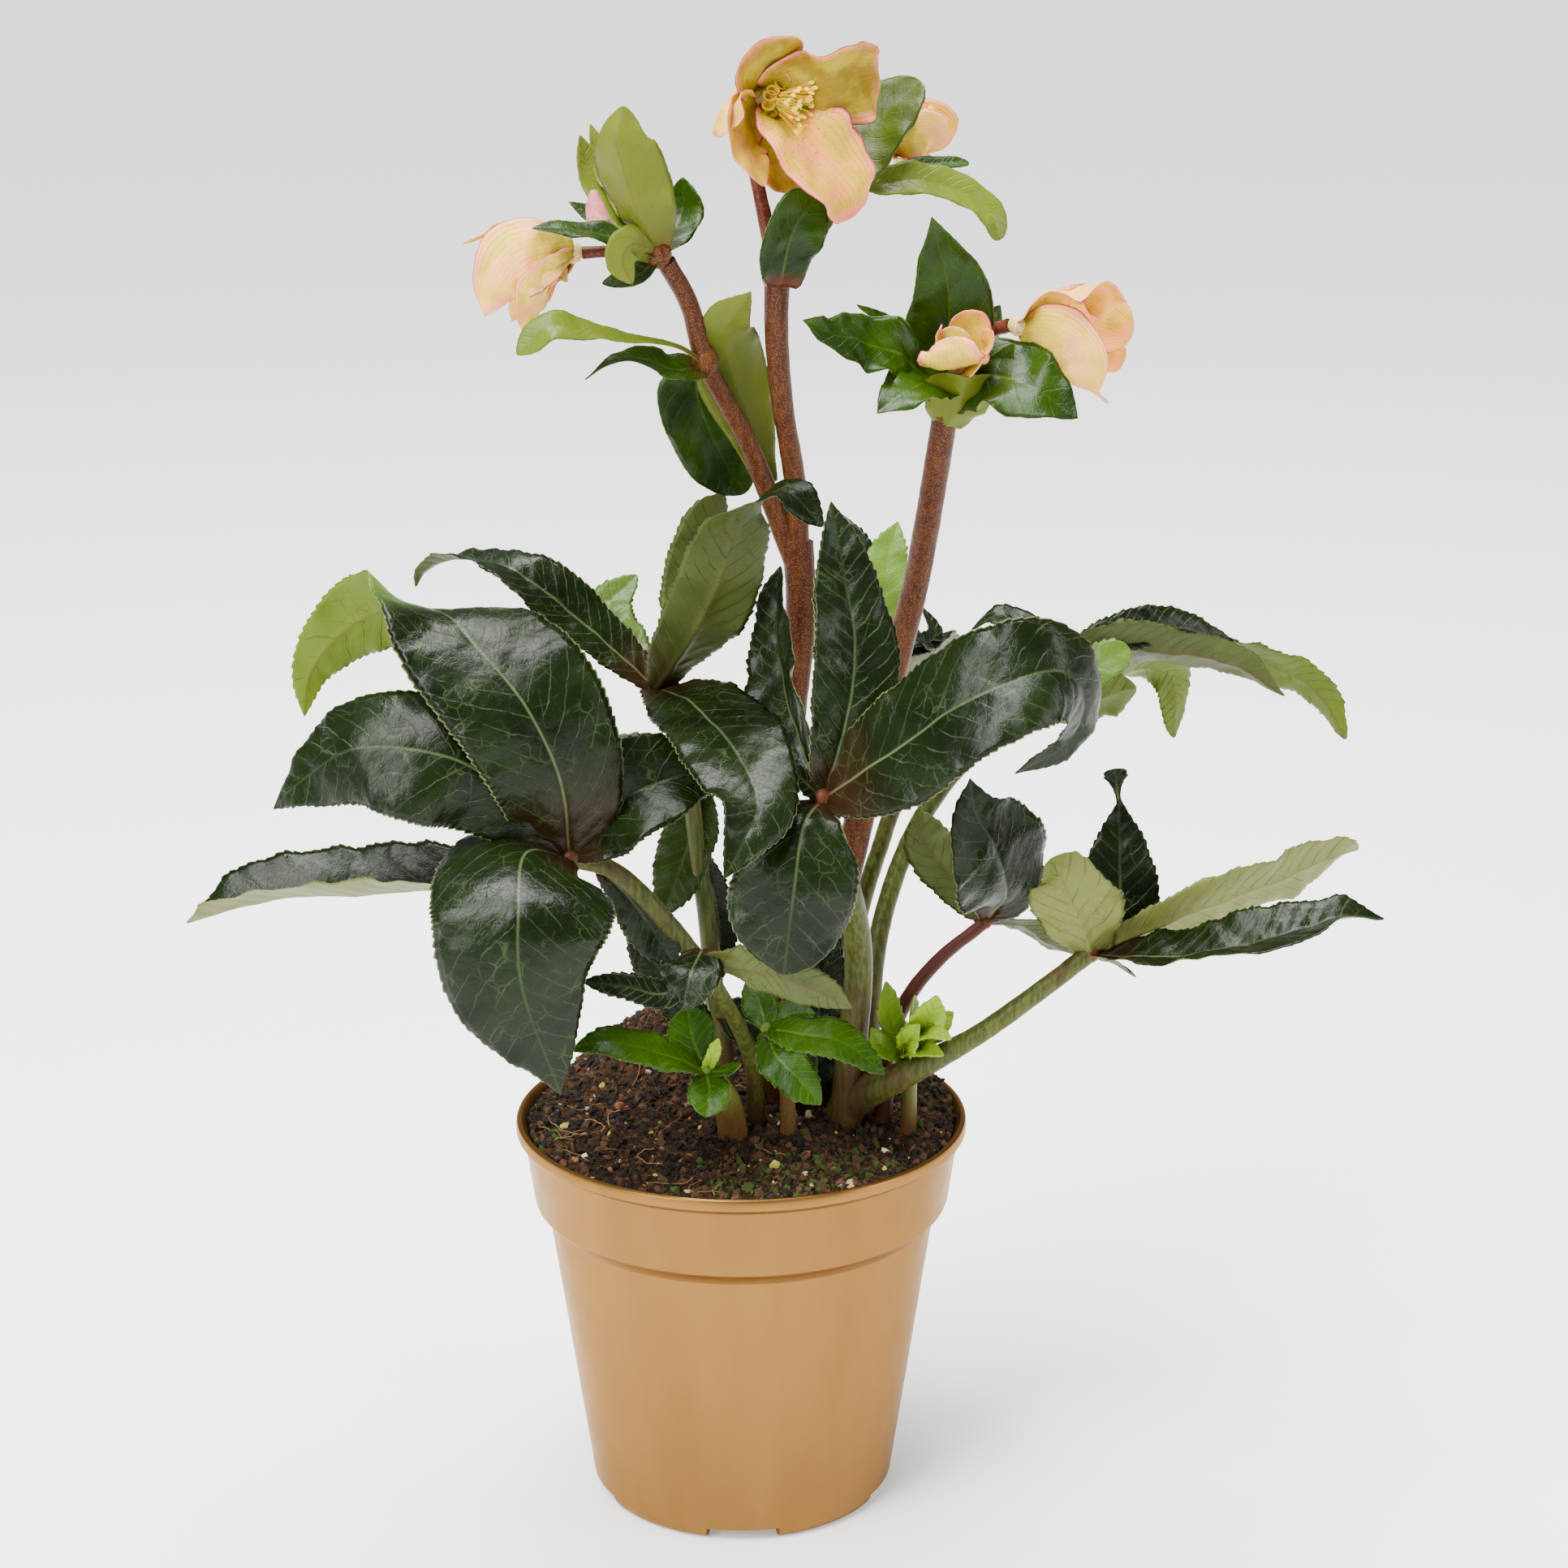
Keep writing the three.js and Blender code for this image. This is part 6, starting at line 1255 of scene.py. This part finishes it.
def foliage(context, group, form, finishes, stalk_skin, hub_skin, flush):
    """Leaves of one kind, each with its blades as one sheet mesh and its petiole and hub."""
    size, stem = sizes(context, "leaf"), sizes(context, "stem")
    form = dict(form, pitch=size.pitch / MM, tooth=size.tooth / MM)
    for name, (leg, blades) in group.items():
        hub = leg["path"][-1]
        leaf = sheet(name + "_dressed", from_hub(blades, hub), form, size.thick / MM, finishes,
                     columns=(size.across, max(5, size.across - 4)), seeds=(0.37, 0.13))
        line = stalk_line(leg["path"], leg["radii"], red=leg.get("flush", flush))
        petiole = tubes(name + "_petiole", [line], skin_named(stalk_skin), stem.sides, stem.ridges / MM,
                        ridge_mm=3.0)
        knot = bead(name + "_hub", hub, leg["radii"][-1] + 0.2, (0, 0, 1), skin_named(hub_skin), long=1.1)
        placed(joined([leaf, petiole, knot]), name)


class HELLEBORE_OT_leaves(bpy.types.Operator):
    """Make the old leaves"""
    bl_idname = "hellebore.leaves"
    bl_label = "Old leaves"

    def execute(self, context):
        foliage(context, LEAVES, OLD_LEAF, ("old_leaf_waxy_upper_skin", "old_leaf_matt_underside"),
                "petiole_ribbed_skin", "leaf_hub_red_skin", (0.7, 0.15, 0.3))
        return {"FINISHED"}


class HELLEBORE_OT_shoots(bpy.types.Operator):
    """Make the young shoots"""
    bl_idname = "hellebore.shoots"
    bl_label = "Young shoots"

    def execute(self, context):
        foliage(context, SHOOTS, YOUNG_LEAF, ("young_leaf_soft_upper_skin", "young_leaf_soft_underside"),
                "young_stalk_skin", "young_stalk_skin", (0.9, 0.5, 0.1))
        return {"FINISHED"}


class HELLEBORE_OT_stems(bpy.types.Operator):
    """Make the flower stems"""
    bl_idname = "hellebore.stems"
    bl_label = "Flower stems"

    def execute(self, context):
        size = sizes(context, "stem")
        for name, legs in STEMS.items():
            lines = [stalk_line(leg["path"], leg["radii"], red=(0.1, 0.2, 0.5)) for leg in legs]
            stem = tubes(name + "_dressed", lines, skin_named("flower_stem_speckled_skin"), size.sides + 4,
                         size.ridges / MM, ridge_mm=4.0)
            placed(stem, name)
        return {"FINISHED"}


class HELLEBORE_OT_bracts(bpy.types.Operator):
    """Make the bracts and stem leaves with the short stalks of the blooms"""
    bl_idname = "hellebore.bracts"
    bl_label = "Bracts"

    def execute(self, context):
        leaf, stem = sizes(context, "leaf"), sizes(context, "stem")
        form = dict(BRACT, pitch=leaf.pitch / MM)
        for name, whorl in WHORLS.items():
            bracts = sheet(name + "_dressed", from_hub(whorl["blades"], whorl["hub"]), form, BRACT_THICK,
                           ("bract_thin_upper_skin", "bract_pale_underside"), columns=(9, 9),
                           seeds=(0.41, 0.29))
            at, radius = whorl["knuckle"]
            stem_skin = skin_named("flower_stem_speckled_skin")
            pieces = [bracts, bead(name + "_knuckle", at, radius - 0.7, (0, 0, 1), stem_skin, long=1.2)]
            lines = [stalk_line(leg["path"], leg["radii"], red=(0.4, 0.6)) for leg in whorl["pedicels"]]
            if lines:
                skin = skin_named("flower_stalk_red_skin")
                pieces.append(tubes(name + "_pedicels", lines, skin, stem.sides, stem.ridges / MM,
                                    ridge_mm=3.0))
            placed(joined(pieces), name)
        return {"FINISHED"}


class HELLEBORE_OT_blooms(bpy.types.Operator):
    """Make the sepals of the blooms and the bud"""
    bl_idname = "hellebore.blooms"
    bl_label = "Blooms"

    def execute(self, context):
        size = sizes(context, "flower")
        for name, bloom in BLOOMS.items():
            ring = sheet(name + "_dressed", bloom["sepals"], SEPAL, size.thick / MM,
                         ("sepal_satin_inner_face", "sepal_chalky_outer_face"), columns=(11, 11),
                         seeds=(0.31, 0.17))
            neck = bead(name + "_neck", bloom["at"], NECK_RADIUS, bloom.get("looks", (0, 0, 1)),
                        skin_named("bloom_neck_skin"), long=1.05)
            placed(joined([ring, neck]), name)
        line = stalk_line(BUD["path"], BUD["radii"], step=0.6, red=(0, 1))
        bud = tubes("bud_left_dressed", [line], skin_named("bud_closed_sepals_skin"), sides=20, ridges=0.3)
        placed(bud, "bud_left")
        return {"FINISHED"}


def bloom_axes(bloom):
    axis = Vector(bloom["looks"]).normalized()
    up = (Vector((0, 0, 1)) - axis * axis.z).normalized()
    return np.array(bloom["at"], float), np.array(axis), np.array(up), np.array(axis.cross(up))


def spot(axes, turn, out, forward):
    """The place at this turn round a bloom's axis, out from it and forward along it in mm."""
    at, axis, up, right = axes
    turn, out, forward = (np.asarray(v, float)[..., None] for v in (turn, out, forward))
    return at + axis * forward + (up * np.cos(turn) + right * np.sin(turn)) * out


class HELLEBORE_OT_hearts(bpy.types.Operator):
    """Make the carpels, nectaries and stamens inside the blooms"""
    bl_idname = "hellebore.hearts"
    bl_label = "Flower hearts"

    def execute(self, context):
        size = sizes(context, "flower")
        for number, (name, bloom) in enumerate(BLOOMS.items()):
            if "looks" not in bloom:
                continue
            draw = np.random.default_rng(11 + number)
            axes, wide = bloom_axes(bloom), bloom.get("spread", 1)
            paths = [[spot(axes, turn + 0.3, *place) for place in CARPEL] for turn in circle(5)]
            lines = [stalk_line(path, CARPEL_RADII, 0.8) for path in paths]
            pieces = [tubes(name + "_carpels", lines, skin_named("carpel_downy_skin"), 10)]
            turn = np.arange(size.cups) / size.cups * 2 * np.pi + 0.2 * draw.random(size.cups)
            start = spot(axes, turn, *NECTARY_FOOT)
            end = spot(axes, turn, NECTARY_MOUTH[0] * wide, NECTARY_MOUTH[1])
            lengths = np.full(size.cups, NECTARY_LONG)
            pieces.append(placed_parts(name + "_nectaries", start, lengths, end - start, cup_part(),
                                       skin_named("nectary_fleshy_skin")))
            turn, lean = draw.random(size.stamens) * 2 * np.pi, draw.random(size.stamens)
            lines, tips, ways = [], [], []
            for t, o in zip(turn, lean):
                base, middle = (spot(axes, t, out + o * more * wide, forward)
                                for out, more, forward in (STAMEN_FOOT, STAMEN_MIDDLE))
                aside = 0.2 * (draw.random() - 0.5)
                out, more, forward = STAMEN_TIP
                droop = STAMEN_DROOP * o * draw.random()
                tip = spot(axes, t + aside, out + o * more * wide, forward - droop)
                lines.append(stalk_line([base, middle, tip], [size.filament / MM] * 2, 1.6))
                tips.append(tip)
                ways.append(tip - middle + (draw.random(3) - 0.5) * 6)
            pieces.append(tubes(name + "_filaments", lines, skin_named("filament_silky_thread"), 5))
            sacs = np.full(len(tips), size.anther / MM)
            pieces.append(placed_parts(name + "_anthers", tips, sacs, ways, ball_part(),
                                       skin_named("anther_mealy_sac"), 1.7))
            placed(joined(pieces), name + "_heart")
        return {"FINISHED"}


class HELLEBORE_OT_stage(bpy.types.Operator):
    """Make the floor, the lights and the camera"""
    bl_idname = "hellebore.stage"
    bl_label = "Stage"

    def execute(self, context):
        size = sizes(context, "stage")
        mesh = bpy.data.meshes.new("floor")
        reach, low = 14.0, -0.0006
        corners = [(x * reach, y * reach, low) for x, y in ((-1, -1), (1, -1), (1, 1), (-1, 1))]
        mesh.from_pydata(corners, [], [(0, 1, 2, 3)])
        mesh.materials.append(table_finish(size.floor))
        new_object("floor", mesh)
        softboxes = (("key_softbox", (-1.5, -1.7, 1.5), (1.0, 1.8), size.key),
                     ("top_softbox", (-0.1, 0.2, 1.8), (1.0, 0.8), size.key * 0.85),
                     ("side_softbox", (1.9, -0.7, 1.0), (0.6, 1.6), size.key * 0.35))
        for name, at, (wide, tall), power in softboxes:
            lamp = bpy.data.lights.new(name, "AREA")
            lamp.shape, lamp.size, lamp.size_y, lamp.energy = "RECTANGLE", wide, tall, power
            light = new_object(name, lamp)
            light.location = at
            light.rotation_euler = (Vector((0, 0, 0.25)) - Vector(at)).to_track_quat("-Z", "Y").to_euler()
        lamp = bpy.data.lights.new("daylight", "SUN")
        lamp.energy, lamp.angle = size.day, math.radians(30)
        sun = new_object("daylight", lamp)
        sun.rotation_euler = Vector((0.35, 0.45, -1)).to_track_quat("-Z", "Y").to_euler()
        context.scene.world = world = bpy.data.worlds.new("studio")
        world.use_nodes = True
        tree = world.node_tree
        tree.nodes.clear()
        height = add(tree, "SeparateXYZ", [add(tree, "TexCoord").outputs["Object"]]).outputs[2]
        # A white sweep closes the room low down, all round.
        strength = add(tree, "MapRange", [height, 0, 0.08, 2.2, size.sky])
        sky = add(tree, "Background", {"Color": "#f2f4f6", "Strength": strength})
        add(tree, "OutputWorld", {"Surface": sky})
        camera = bpy.data.cameras.new("camera")
        camera.lens, camera.sensor_width, camera.sensor_fit = size.lens, 36.0, "HORIZONTAL"
        camera.clip_end = 100
        context.scene.camera = eye = new_object("camera", camera)
        eye.matrix_world = Matrix(((0.99990, 0.00387, -0.01323, 0), (-0.01379, 0.28047, -0.95976, -1.0328),
                                   (0, 0.95985, 0.28050, 0.54755), (0, 0, 0, 1)))
        return {"FINISHED"}


class HELLEBORE_PT_panel(bpy.types.Panel):
    """Sizes, colours and steps of the potted hellebore"""
    bl_idname = "HELLEBORE_PT_panel"
    bl_label = "Potted hellebore"
    bl_space_type = "VIEW_3D"
    bl_region_type = "UI"
    bl_category = "Hellebore"

    def draw(self, context):
        for group in GROUPS:
            values = sizes(context, group)
            box = self.layout.box()
            for key in values.__annotations__:
                box.prop(values, key)
        for step in STEPS:
            self.layout.operator(step.bl_idname)


STEPS = (HELLEBORE_OT_stage, HELLEBORE_OT_pot, HELLEBORE_OT_soil, HELLEBORE_OT_leaves, HELLEBORE_OT_shoots,
         HELLEBORE_OT_stems, HELLEBORE_OT_bracts, HELLEBORE_OT_blooms, HELLEBORE_OT_hearts)


def register():
    for kind in (*GROUPS.values(), *STEPS, HELLEBORE_PT_panel):
        bpy.utils.register_class(kind)
    for name, group in GROUPS.items():
        setattr(bpy.types.Scene, "hellebore_" + name, PointerProperty(type=group))


def unregister():
    for name in GROUPS:
        delattr(bpy.types.Scene, "hellebore_" + name)
    for kind in reversed((*GROUPS.values(), *STEPS, HELLEBORE_PT_panel)):
        bpy.utils.unregister_class(kind)


def main():
    register()
    for step in STEPS:
        area, name = step.bl_idname.split(".")
        getattr(getattr(bpy.ops, area), name)()


if __name__ == "__main__":
    main()
